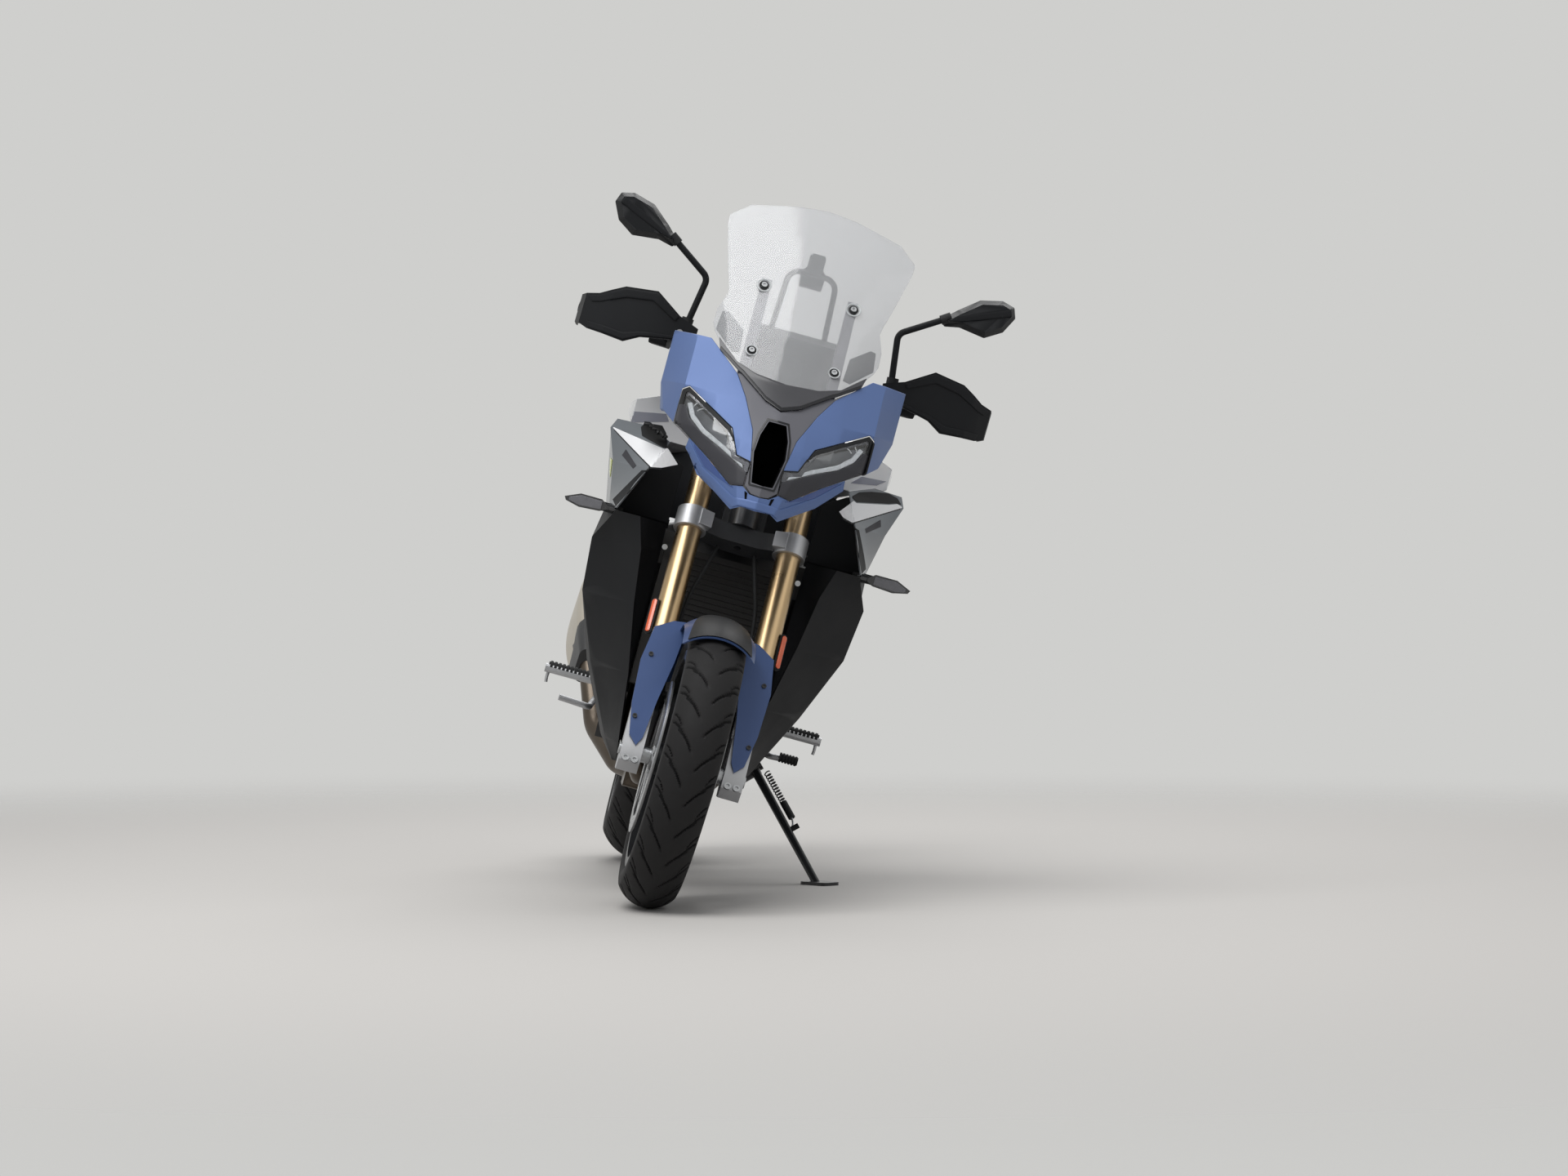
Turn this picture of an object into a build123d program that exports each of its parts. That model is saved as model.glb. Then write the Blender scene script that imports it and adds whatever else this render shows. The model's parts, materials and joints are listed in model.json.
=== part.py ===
from build123d import *
import os
from math import asin, atan2, cos, degrees, hypot, pi, radians, sin, sqrt

# Sport touring motorcycle, leaning on its side stand.
# Everything is modelled on the upright machine: +X to the rider's left, -Y forward, +Z up,
# origin on the ground half way between the axles. The last section leans the machine over.

# ---------------------------------------------------------------- driving dimensions (mm, degrees)
wheelbase = 1522.0
rake = 25.5                 # steering axis from the vertical
trail = 117.0
lean = 15.4                 # parked on the side stand, towards the rider's left
steer_rest = 1.5            # bars left as parked, a touch to the left
rim_seat = 216.0            # 17 inch bead seat radius
front_width = 120.0
front_aspect = 0.70
rear_width = 190.0
rear_aspect = 0.55
front_rim_width = 100.0     # between the flanges
rear_rim_width = 164.0
running_gap = 5.5           # between pieces that move past each other
seam = 0.3                  # between panels and pieces that sit against each other
wall = 3.5                  # moulded panels

# ---------------------------------------------------------------- derived frame
front_radius = rim_seat + front_width * front_aspect
rear_radius = rim_seat + rear_width * rear_aspect
front_y = -wheelbase / 2
rear_y = wheelbase / 2
front_axle = (0, front_y, front_radius)
rear_axle = (0, rear_y, rear_radius)
rake_sin = sin(radians(rake))
rake_cos = cos(radians(rake))
fork_offset = front_radius * rake_sin - trail * rake_cos
axle_station = (front_radius - fork_offset * rake_sin) / rake_cos
steer_foot = (0, front_y - trail, 0)
steer_plane = Plane(origin=steer_foot, x_dir=(1, 0, 0), z_dir=(0, rake_sin, rake_cos))

steer_frame = Location(steer_plane)
steer_turn = steer_frame * Location((0, 0, 0), (0, 0, steer_rest)) * steer_frame.inverse()

# ---------------------------------------------------------------- how the machine stands
crown_rise = 0.52           # shoulder below the crown, as a share of the tyre's half width
crown_reach = 0.96          # shoulder out from the middle, as the same share
crown_flats = 6             # straight facets across a tyre's tread
tyre_sides = 48             # flats round a tyre, each touching the true circle, one of them downwards
leaned = Location((0, 0, 0), (0, lean, 0))


def crown_edges(width, radius):
    """Edges of the tread's facets as (across, radius), from one shoulder to the other."""
    crown = width / 2 * (crown_reach ** 2 + crown_rise ** 2) / (2 * crown_rise)
    reach = asin(crown_reach * width / 2 / crown)
    turns = [reach * (2 * i / crown_flats - 1) for i in range(crown_flats + 1)]
    return [(crown * sin(turn), radius - crown * (1 - cos(turn))) for turn in turns]


def ring_point(axle, across, radius, corner):
    """A numbered corner of one of a faceted tyre's rings."""
    turn = (corner + 0.5) * 2 * pi / tyre_sides
    reach = radius / cos(pi / tyre_sides)
    return (across, axle[1] + reach * sin(turn), axle[2] - reach * cos(turn))


def lowest_point(axle, radius, width, turn):
    """Height of a leaned tyre's lowest corner, if the wheel is first turned by a location."""
    place = leaned * turn
    heights = []
    for across, ring in crown_edges(width, radius):
        for corner in range(tyre_sides):
            heights.append((place * Location(ring_point(axle, across, ring, corner))).position.Z)
    return min(heights)


front_low = lowest_point(front_axle, front_radius, front_width, steer_turn)
rear_low = lowest_point(rear_axle, rear_radius, rear_width, Location())
nose_down = degrees(atan2(front_low - rear_low, wheelbase))
standing = Location((0, 0, -(front_low + rear_low) / 2)) * Location((0, 0, 0), (nose_down, 0, 0)) * leaned
ground = Plane(standing.inverse())


def steer_point(x, ahead, station):
    """A point given in the steering frame: x to the left, ahead of the axis, up along the axis."""
    return (x, front_y - trail - ahead * rake_cos + station * rake_sin,
            ahead * rake_sin + station * rake_cos)


def wheel_section(axle, behind=0.0):
    """Half plane through an axle: local x along the axle, local y outwards, so far behind straight up."""
    turn = radians(behind)
    return Plane(origin=axle, x_dir=(1, 0, 0), z_dir=(0, -cos(turn), sin(turn)))


def wheel_face(axle, x=0.0):
    """Plane square to an axle: local x backwards, local y up."""
    return Plane(origin=(x, axle[1], axle[2]), x_dir=(0, 1, 0), z_dir=(1, 0, 0))


def run_tube(points, bends, radius):
    """Round bar along straight runs joined by arcs."""
    with BuildLine() as run:
        if bends:
            FilletPolyline(*points, radius=bends)
        else:
            Line(*points)
    with BuildSketch(Plane(origin=run.line @ 0, z_dir=run.line % 0)) as ring:
        Circle(radius)
    sweep(ring.sketch, path=run.line)


def front_prism(points, mode, near=-1200.0, far=1300.0):
    """Prism along Y over an outline given as (x, z) in front view."""
    with BuildSketch(Plane(origin=(0, near, 0), x_dir=(1, 0, 0), z_dir=(0, -1, 0))) as outline:
        Polygon(*points, align=None)
    extrude(outline.sketch, amount=near - far, mode=mode)


def side_prism(points, mode, near=-600.0, far=600.0):
    """Prism along X over an outline given as (y, z) in side view."""
    with BuildSketch(Plane(origin=(near, 0, 0), x_dir=(0, 1, 0), z_dir=(1, 0, 0))) as outline:
        Polygon(*points, align=None)
    extrude(outline.sketch, amount=far - near, mode=mode)


def plan_prism(points, mode, low=0.0, high=1700.0):
    """Prism along Z over an outline given as (x, y) seen from above."""
    with BuildSketch(Plane.XY.offset(low)) as outline:
        Polygon(*points, align=None)
    extrude(outline.sketch, amount=high - low, mode=mode)


def both_sides(half):
    """Close an outline from its left half, listed from the middle outwards."""
    return half + [(-x, y) for x, y in reversed(half) if x != 0]


def inset_line(points, depth):
    """The line a wall's depth to the inside (towards -x) of an open line of (x, y)."""
    inner = []
    for i, (x, y) in enumerate(points):
        x0, y0 = points[max(i - 1, 0)]
        x1, y1 = points[min(i + 1, len(points) - 1)]
        length = hypot(x1 - x0, y1 - y0)
        inner.append((x - depth * (y1 - y0) / length, y + depth * (x1 - x0) / length))
    return inner


def stacked_shell(levels, depth):
    """Thin faceted panel through level lines: a list of (height, [(x, y), ...]) front to back."""
    sections = []
    for height, line in levels:
        with BuildSketch(Plane.XY.offset(height)) as section:
            Polygon(*(line + inset_line(line, depth)[::-1]), align=None)
        sections += section.sketch.faces()
    loft(sections, ruled=True)


# ================================================================ wheels
def faceted_tyre(axle, width, radius, rim_width):
    """Tubeless tyre of flat facets, open towards the rim."""
    half = width / 2
    bead = rim_width / 2 - seam
    shoulder = radius - crown_rise * half
    side = [(half, shoulder - 0.3 * half), (bead, rim_seat + 14), (bead, rim_seat + seam),
            (bead - 12, rim_seat + seam), (0.45 * half, radius - 16)]
    outline = crown_edges(width, radius) + side + [(-x, y) for x, y in reversed(side)]
    facets = []
    for corner in range(tyre_sides):
        for one, other in zip(outline, outline[1:] + outline[:1]):
            corners = [ring_point(axle, *one, corner), ring_point(axle, *other, corner),
                       ring_point(axle, *other, corner + 1), ring_point(axle, *one, corner + 1)]
            facets.append(Face(Wire.make_polygon(corners)))
    add(Solid(Shell(facets)))


def rim_section(axle, rim_width):
    """Drop-centre barrel with its two flanges."""
    half = rim_width / 2
    with BuildSketch(wheel_section(axle)) as barrel:
        with BuildLine():
            outer = [(0, 196), (half - 32, 196), (half - 22, rim_seat), (half, rim_seat),
                     (half, rim_seat + 13), (half + 5, rim_seat + 13), (half + 5, rim_seat - 6),
                     (half - 18, rim_seat - 6), (half - 28, 190), (0, 190)]
            Polyline(*both_sides(outer), close=True)
        make_face()
    return barrel.sketch


bearing_gap = 0.1
front_axle_bar = 12.0
rear_axle_bar = 14.0
spoke_pairs = 5
front_hub_half = 62.0
rear_hub_half = 70.0
disc_thickness = 5.0


def cast_wheel(axle, rim_width, hub_half, hub_radius, axle_bar):
    """Barrel, hub and paired spokes; the hub is bored for its axle."""
    revolve(rim_section(axle, rim_width), axis=Axis(axle, (1, 0, 0)))
    with BuildSketch(wheel_face(axle, -hub_half)) as hub:
        Circle(hub_radius)
    extrude(hub.sketch, amount=2 * hub_half)
    with BuildSketch(wheel_face(axle, -13)) as spokes:
        for turn in (-13, 13):
            with PolarLocations(0, spoke_pairs, start_angle=90 + turn):
                Polygon((30, -11), (192, -8), (192, 8), (30, 11), align=None)
    extrude(spokes.sketch, amount=26)
    with BuildSketch(wheel_face(axle, -hub_half)) as bore:
        Circle(axle_bar + bearing_gap)
    extrude(bore.sketch, amount=2 * hub_half, mode=Mode.SUBTRACT)


with BuildPart() as front_tyre:
    faceted_tyre(front_axle, front_width, front_radius, front_rim_width)

with BuildPart() as front_rim:
    cast_wheel(front_axle, front_rim_width, front_hub_half, 34, front_axle_bar)

with BuildPart() as rear_tyre:
    faceted_tyre(rear_axle, rear_width, rear_radius, rear_rim_width)

with BuildPart() as rear_rim:
    cast_wheel(rear_axle, rear_rim_width, rear_hub_half, 45, rear_axle_bar)

front_disc_radius = 160.0
rear_disc_radius = 132.0
disc_band = 34.0


def brake_disc(axle, x, radius, seat_radius, arms):
    """Disc band on a carrier with arms, bolted to the hub's face."""
    with BuildSketch(wheel_face(axle, x)) as disc:
        Circle(radius)
        Circle(radius - disc_band, mode=Mode.SUBTRACT)
        with PolarLocations(0, arms):
            Polygon((seat_radius - 6, -9), (radius - disc_band + 3, -5),
                    (radius - disc_band + 3, 5), (seat_radius - 6, 9), align=None)
        Circle(seat_radius)
        Circle(18, mode=Mode.SUBTRACT)
    extrude(disc.sketch, amount=disc_thickness)


with BuildPart() as front_discs:
    brake_disc(front_axle, front_hub_half, front_disc_radius, 34, 6)
    brake_disc(front_axle, -front_hub_half - disc_thickness, front_disc_radius, 34, 6)

with BuildPart() as rear_disc:
    brake_disc(rear_axle, -rear_hub_half - disc_thickness, rear_disc_radius, 45, 5)

# chain and sprockets
chain_pitch = 15.875
sprocket_teeth = 45
engine_teeth = 17
chain_x = 112.0
chain_band = 11.0           # inner plates and rollers
chain_plate = 2.0           # outer plates, on alternate links
chain_width = chain_band + 2 * chain_plate
sprocket_pitch_radius = chain_pitch / 2 / sin(pi / sprocket_teeth)
engine_pitch_radius = chain_pitch / 2 / sin(pi / engine_teeth)
roller = 5.0
sprocket_width = 7.0
output_y = 40.0
output_z = 415.0


def sprocket(axle, pitch_radius, teeth, x):
    """Toothed ring whose teeth stand between the chain's rollers."""
    tip = pitch_radius - roller - seam
    with BuildSketch(wheel_face(axle, x)) as ring:
        Circle(tip - 5)
        with PolarLocations(0, teeth):
            Polygon((tip - 7, -4), (tip, -1.5), (tip, 1.5), (tip - 7, 4), align=None)
    extrude(ring.sketch, amount=sprocket_width)


with BuildPart() as rear_sprocket:
    sprocket(rear_axle, sprocket_pitch_radius, sprocket_teeth, chain_x - sprocket_width / 2)
    with BuildSketch(wheel_face(rear_axle, rear_hub_half)) as cush_carrier:
        Circle(62)
    extrude(cush_carrier.sketch, amount=chain_x + sprocket_width / 2 - rear_hub_half)
    with BuildSketch(wheel_face(rear_axle, chain_x - sprocket_width / 2)) as windows:
        with PolarLocations(82, 5):
            Circle(13)
    extrude(windows.sketch, amount=sprocket_width, mode=Mode.SUBTRACT)
    with BuildSketch(wheel_face(rear_axle, rear_hub_half)) as bore:
        Circle(rear_axle_bar + bearing_gap)
    extrude(bore.sketch, amount=60, mode=Mode.SUBTRACT)


# ================================================================ steering
fork_half = 108.0
tube_radius = 26.0
stanchion_radius = 21.5
tube_bottom = axle_station + 275
lower_clamp = axle_station + 543
lower_clamp_depth = 40.0
upper_clamp = axle_station + 805
upper_clamp_depth = 28.0
stem_radius = 15.0
stem_bore_radius = 8.0      # takes a head stand's pin from below
stem_bore_depth = 36.0
tube_top = upper_clamp + upper_clamp_depth / 2 + 8

with BuildPart() as fork_tubes:
    with BuildSketch(steer_plane.offset(tube_bottom)) as tube_rings:
        with Locations((fork_half, -fork_offset), (-fork_half, -fork_offset)):
            Circle(tube_radius)
            Circle(stanchion_radius + 0.2, mode=Mode.SUBTRACT)
    extrude(tube_rings.sketch, amount=tube_top - tube_bottom)
    with BuildSketch(steer_plane.offset(tube_top - 12)) as tube_caps:
        with Locations((fork_half, -fork_offset), (-fork_half, -fork_offset)):
            Circle(stanchion_radius + 1)
    extrude(tube_caps.sketch, amount=14)

# cast fork feet with their slider tubes, axle clamps and caliper lugs
foot_inner = 84.0
foot_outer = 132.0
lug_radius_in = 118.0
lug_radius_out = 176.0
caliper_start = 40.0        # degrees behind straight up
caliper_sweep = 46.0


def wheel_polar(radius, angle):
    """(back, up) at an angle behind straight up, on a wheel's face."""
    return (radius * sin(radians(angle)), radius * cos(radians(angle)))


with BuildPart() as fork_feet:
    with BuildSketch(steer_plane.offset(axle_station + 20)) as slider:
        with Locations((fork_half, -fork_offset)):
            Circle(stanchion_radius)
    extrude(slider.sketch, amount=tube_bottom + 130 - axle_station - 20)
    with BuildSketch(wheel_face(front_axle, fork_half - 22)) as casting:
        Polygon(wheel_polar(118, rake - 10), wheel_polar(118, rake + 10), (34, 12), (35, -20), (22, -42),
                (-24, -42), (-36, -20), (-30, 12), align=None)
    extrude(casting.sketch, amount=44)
    with BuildSketch(wheel_face(front_axle, foot_inner)) as caliper_lug:
        Polygon(wheel_polar(lug_radius_in - 30, rake), wheel_polar(lug_radius_out, rake),
                wheel_polar(lug_radius_out, caliper_start - 0.3),
                wheel_polar(lug_radius_in, caliper_start - 0.3), align=None)
    extrude(caliper_lug.sketch, amount=20)
    with BuildSketch(wheel_face(front_axle, foot_inner)) as clamp_bore:
        Circle(front_axle_bar + bearing_gap)
    extrude(clamp_bore.sketch, amount=foot_outer, mode=Mode.SUBTRACT)
    with BuildSketch(wheel_face(front_axle, foot_inner)) as clamp_slit:
        with Locations((0, -30)):
            Rectangle(3, 40)
    extrude(clamp_slit.sketch, amount=foot_outer, mode=Mode.SUBTRACT)
    mirror(about=Plane.YZ)

with BuildPart() as front_axle_bar_piece:
    with BuildSketch(wheel_face(front_axle, -foot_outer - 2)) as axle_round:
        Circle(front_axle_bar)
    extrude(axle_round.sketch, amount=2 * foot_outer + 4)
    for side in (1, -1):
        spacer_x = front_hub_half + disc_thickness + 0.4
        with BuildSketch(wheel_face(front_axle, side * spacer_x)) as spacer:
            Circle(17)
        extrude(spacer.sketch, amount=side * (foot_inner + 1.6 - spacer_x))

caliper_half = 34.0
disc_slot = disc_thickness + 2 * running_gap
caliper_x = front_hub_half + disc_thickness / 2

with BuildPart() as front_calipers:
    with BuildSketch(wheel_face(front_axle, caliper_x - caliper_half)) as caliper:
        Polygon(wheel_polar(112, caliper_start), wheel_polar(182, caliper_start),
                wheel_polar(184, caliper_start + caliper_sweep / 2),
                wheel_polar(182, caliper_start + caliper_sweep),
                wheel_polar(112, caliper_start + caliper_sweep), align=None)
    extrude(caliper.sketch, amount=2 * caliper_half)
    fillet(front_calipers.edges().filter_by(Axis.X), 10)
    with BuildSketch(wheel_face(front_axle, caliper_x - disc_slot / 2)) as slot:
        Circle(front_disc_radius + running_gap)
    extrude(slot.sketch, amount=disc_slot, mode=Mode.SUBTRACT)
    mirror(about=Plane.YZ)

# lower and upper clamps on one stem
collar_radius = 35.0
riser_x = 42.0
bar_radius = 11.0
bar_station = upper_clamp + 84


def clamp_plate(station, depth, nose, hold):
    """Clamp plate from fork tube to fork tube round the stem, its front edge so far ahead."""
    with BuildSketch(steer_plane.offset(station - depth / 2)) as plate:
        Polygon((fork_half, -fork_offset - 22), (fork_half, -fork_offset + 24), (30, 30), (-30, 30),
                (-fork_half, -fork_offset + 24), (-fork_half, -fork_offset - 22), (-40, -nose), (40, -nose),
                align=None)
        with Locations((fork_half, -fork_offset), (-fork_half, -fork_offset)):
            Circle(hold, mode=Mode.SUBTRACT)
    extrude(plate.sketch, amount=depth)


with BuildPart() as clamp_collars:
    with BuildSketch(steer_plane.offset(lower_clamp - lower_clamp_depth / 2 - 3)) as collar_rings:
        with Locations((fork_half, -fork_offset)):
            Circle(collar_radius)
            Circle(tube_radius + 0.1, mode=Mode.SUBTRACT)
    extrude(collar_rings.sketch, amount=lower_clamp_depth + 6)
    with BuildSketch(steer_plane.offset(lower_clamp - lower_clamp_depth / 2 + 2)) as pinch_lugs:
        Polygon((fork_half - 42, -fork_offset - 30), (fork_half - 14, -fork_offset - 38),
                (fork_half - 12, -fork_offset - 24), (fork_half - 36, -fork_offset - 10), align=None)
        with Locations((fork_half, -fork_offset)):
            Circle(tube_radius + 0.1, mode=Mode.SUBTRACT)
    extrude(pinch_lugs.sketch, amount=lower_clamp_depth - 4)
    mirror(about=Plane.YZ)

with BuildPart() as fork_clamps:
    clamp_plate(lower_clamp, lower_clamp_depth, 24, tube_radius + 0.1)
    clamp_plate(upper_clamp, upper_clamp_depth, 42, tube_radius + 0.1)
    add(clamp_collars.part, mode=Mode.SUBTRACT)
    with BuildSketch(steer_plane.offset(lower_clamp)) as stem:
        Circle(stem_radius)
    extrude(stem.sketch, amount=upper_clamp + 26 - lower_clamp)
    with BuildSketch(steer_plane.offset(lower_clamp - lower_clamp_depth / 2)) as stem_bore:
        Circle(stem_bore_radius)
    extrude(stem_bore.sketch, amount=stem_bore_depth, mode=Mode.SUBTRACT)
    with BuildSketch(steer_plane.offset(upper_clamp)) as risers:
        with Locations((riser_x, 0), (-riser_x, 0)):
            RectangleRounded(34, 38, 8)
    extrude(risers.sketch, amount=bar_station + 18 - upper_clamp)
    with BuildSketch(Plane(origin=steer_point(-120, 0, bar_station), x_dir=(0, 1, 0),
                           z_dir=(1, 0, 0))) as bar_seat:
        Circle(bar_radius + 0.1)
    extrude(bar_seat.sketch, amount=240, mode=Mode.SUBTRACT)

# handlebar: centre, upper bend, end, given as (x, ahead of the axis, station)
bar_bend_in = (88.0, 0.0, bar_station)
bar_bend_out = (182.0, 40.0, axle_station + 946)
bar_end = (438.0, -16.0, axle_station + 984)


def bar_point(share):
    """Point on the straight outer run of the bar, from the upper bend (0) to the end (1)."""
    return Vector(*steer_point(*(a + (b - a) * share for a, b in zip(bar_bend_out, bar_end))))


bar_run = (bar_point(1) - bar_point(0)).normalized()


def bar_plane(share):
    """Plane across the bar's outer run; local y stands up."""
    side = Vector(0, 0, 1).cross(bar_run).normalized()
    return Plane(origin=bar_point(share), x_dir=side, z_dir=bar_run)


with BuildPart() as handlebar:
    half_bar = [bar_bend_in, bar_bend_out, bar_end]
    bar_route = [steer_point(-x, a, w) for x, a, w in reversed(half_bar)]
    bar_route += [steer_point(x, a, w) for x, a, w in half_bar]
    run_tube(bar_route, [60, 60, 60, 60], bar_radius)
    with BuildSketch(bar_plane(0.955)) as end_weight:
        Circle(16)
    extrude(end_weight.sketch, amount=30)
    mirror(about=Plane.YZ)

grip_start = 0.44
grip_end = 0.95
with BuildPart() as grips:
    with BuildSketch(bar_plane(grip_start)) as grip:
        Circle(16.5)
        Circle(bar_radius + 0.1, mode=Mode.SUBTRACT)
    extrude(grip.sketch, amount=(bar_point(grip_end) - bar_point(grip_start)).length)
    with BuildSketch(bar_plane(grip_start)) as grip_collar:
        Circle(20)
        Circle(bar_radius + 0.1, mode=Mode.SUBTRACT)
    extrude(grip_collar.sketch, amount=6)
    mirror(about=Plane.YZ)

with BuildPart() as switchgear:
    with BuildSketch(bar_plane(0.16)) as perch:
        with Locations((-14, 2)):
            RectangleRounded(62, 34, 8)
    extrude(perch.sketch, amount=36)
    with BuildSketch(bar_plane(0.27)) as housing:
        with Locations((0, -4)):
            RectangleRounded(46, 52, 10)
    extrude(housing.sketch, amount=40)
    lever_root = bar_plane(0.20).from_local_coords(Vector(-38, 0, 0))
    lever_out = bar_plane(0.42).from_local_coords(Vector(-58, -2, 0))
    lever_tip = bar_plane(0.90).from_local_coords(Vector(-46, -2, 0))
    run_tube([lever_root, lever_out, lever_tip], [40], 6.5)
    with BuildSketch(bar_plane(0.02)) as bar_room:
        Circle(bar_radius + bearing_gap)
    extrude(bar_room.sketch, amount=160, mode=Mode.SUBTRACT)
    mirror(about=Plane.YZ)

# hand guards: a bent band from the bar's end round the lever to a stay on the perch
guard_plan = [(454, -272), (458, -330), (450, -388), (400, -436), (300, -462), (204, -466)]
guard_front = [(482, 1160), (474, 1192), (424, 1203), (374, 1230), (306, 1238), (248, 1200), (204, 1184),
               (204, 1168), (248, 1148), (318, 1134), (350, 1116), (430, 1124), (470, 1140)]
with BuildPart() as handguards:
    plan_prism(guard_plan + inset_line(guard_plan, -5)[::-1], Mode.ADD, 1080, 1260)
    front_prism(guard_front, Mode.INTERSECT, -700, -150)
    with BuildSketch(bar_plane(0.9)) as weight_room:
        Circle(16 + seam)
    extrude(weight_room.sketch, amount=80, mode=Mode.SUBTRACT)
    with BuildSketch(Plane(origin=(238, -380, 1168), x_dir=(1, 0, 0), z_dir=(0, -1, 0))) as guard_stay:
        Circle(8)
    extrude(guard_stay.sketch, amount=85)
    mirror(about=Plane.YZ)
    add(switchgear.part, mode=Mode.SUBTRACT)

# mirrors: stem from the perch, elbow, arm and a drop-shaped head
mirror_y = -378.0
mirror_front = [(446, 1402), (438, 1424), (410, 1431), (363, 1419), (322, 1385), (292, 1356), (303, 1343),
                (335, 1350), (392, 1343), (428, 1366)]
with BuildPart() as mirrors:
    with BuildSketch(Plane(origin=(0, mirror_y, 0), x_dir=(1, 0, 0), z_dir=(0, -1, 0))) as mirror_face:
        Polygon(*mirror_front, align=None)
        fillet(mirror_face.vertices(), 5)
    extrude(mirror_face.sketch, amount=26, taper=22)
    run_tube([(231, -384, 1168), (212, -386, 1300), (306, mirror_y - 12, 1362)], [22], 7)
    mirror(about=Plane.YZ)
    add(switchgear.part, mode=Mode.SUBTRACT)
    add(handguards.part, mode=Mode.SUBTRACT)

# front mudguard: arch over the tyre with a plate down the front of each fork leg
fender_gap = 9.0
fender_half = 72.0
fender_rear = 58.0          # degrees behind straight up
fender_front = 30.0         # degrees ahead of it
leg_plate_ahead = fork_offset + tube_radius + 6


def arch_section(axle, behind, inner, half, drop):
    """Curved channel section of a mudguard."""
    with BuildSketch(wheel_section(axle, behind)) as arch:
        with BuildLine():
            ThreePointArc((-half, inner - drop), (0, inner), (half, inner - drop))
            Line((half, inner - drop), (half + wall, inner - drop))
            ThreePointArc((half + wall, inner - drop), (0, inner + wall), (-half - wall, inner - drop))
            Line((-half - wall, inner - drop), (-half, inner - drop))
        make_face()
    return arch.sketch


with BuildPart() as front_fender:
    revolve(arch_section(front_axle, fender_rear, front_radius + fender_gap, fender_half, 32),
            axis=Axis(front_axle, (1, 0, 0)), revolution_arc=fender_rear + fender_front)
    leg_back = Plane(origin=steer_point(0, leg_plate_ahead, axle_station), x_dir=(1, 0, 0),
                     z_dir=(0, -rake_cos, rake_sin))
    with BuildSketch(leg_back) as leg_plates:
        Polygon((64, 262), (66, 296), (92, 292), (128, 268), (139, 190), (134, 90), (122, 20), (104, 0), (94, 20),
                (84, 110), (70, 200), align=None)
    extrude(leg_plates.sketch, amount=wall)
    mirror(about=Plane.YZ)

# ================================================================ frame and engine
beam_outer = 212.0
beam_depth = 26.0
pivot_y = 165.0
pivot_z = 400.0
pivot_radius = 12.0
pivot_plate_outer = 160.0
head_low = lower_clamp + lower_clamp_depth / 2 + 0.5
head_high = upper_clamp - upper_clamp_depth / 2 - 0.5

# side stand hinge: leg down and leg folded, from the hinge centre
stand_hinge = Vector(186, 60, 308)
stand_foot_x = 381.0
stand_foot_y = -100.0
stand_foot_z = ground.origin.Z - (ground.z_dir.X * (stand_foot_x - ground.origin.X)
                                  + ground.z_dir.Y * (stand_foot_y - ground.origin.Y)) / ground.z_dir.Z
stand_foot = Vector(stand_foot_x, stand_foot_y, stand_foot_z)
stand_down = (stand_foot - stand_hinge).normalized()
stand_folded = Vector(0.10, 0.99, -0.04).normalized()
stand_axis = stand_down.cross(stand_folded).normalized()
stand_travel = stand_down.get_angle(stand_folded)
stand_pin = 8.0


def stand_plane(along):
    """Plane square to the stand's hinge, local y down the leg's line when it is out."""
    return Plane(origin=stand_hinge + stand_axis * along, x_dir=stand_down.cross(stand_axis),
                 z_dir=stand_axis)


shock_top_y = 96.0
shock_top_z = 622.0
shock_bar = 16.0

with BuildPart() as main_frame:
    beam_plan = [(40, -372), (118, -318), (beam_outer, -232), (beam_outer, -60), (pivot_plate_outer, 92),
                 (pivot_plate_outer, 216)]
    plan_prism(beam_plan + inset_line(beam_plan, beam_depth)[::-1], Mode.ADD, 280, 1000)
    side_prism([(-384, 946), (-310, 946), (-200, 905), (0, 800), (100, 660), (150, 500), (216, 380),
                (216, 318), (90, 290), (44, 284), (40, 330), (70, 380), (82, 470), (20, 620), (-80, 716), (-240, 792),
                (-384, 792)], Mode.INTERSECT)
    mirror(about=Plane.YZ)
    with BuildSketch(steer_plane.offset(head_low)) as head_tube:
        Circle(34)
        Polygon((-46, 18), (46, 18), (46, 104), (-46, 104), align=None)
    extrude(head_tube.sketch, amount=head_high - head_low)
    with BuildSketch(Plane.YZ.offset(-pivot_plate_outer + 2)) as pivot_bolt:
        with Locations((pivot_y, pivot_z)):
            Circle(pivot_radius)
        with Locations((shock_top_y, shock_top_z)):
            Circle(shock_bar)
    extrude(pivot_bolt.sketch, amount=2 * pivot_plate_outer - 4)
    with BuildSketch(stand_plane(-10.5)) as stand_room:
        Circle(27)
    extrude(stand_room.sketch, amount=60, mode=Mode.SUBTRACT)
    with BuildSketch(stand_plane(-44)) as stand_boss:
        Circle(20)
    extrude(stand_boss.sketch, amount=34)
    with BuildSketch(stand_plane(-12)) as stand_bolt:
        Circle(stand_pin)
    extrude(stand_bolt.sketch, amount=30)
    with BuildSketch(stand_plane(11)) as stand_nut:
        Circle(13)
    extrude(stand_nut.sketch, amount=8)
    with BuildSketch(steer_plane.offset(head_low)) as head_bore:
        Circle(stem_radius + bearing_gap)
    extrude(head_bore.sketch, amount=head_high - head_low, mode=Mode.SUBTRACT)

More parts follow.
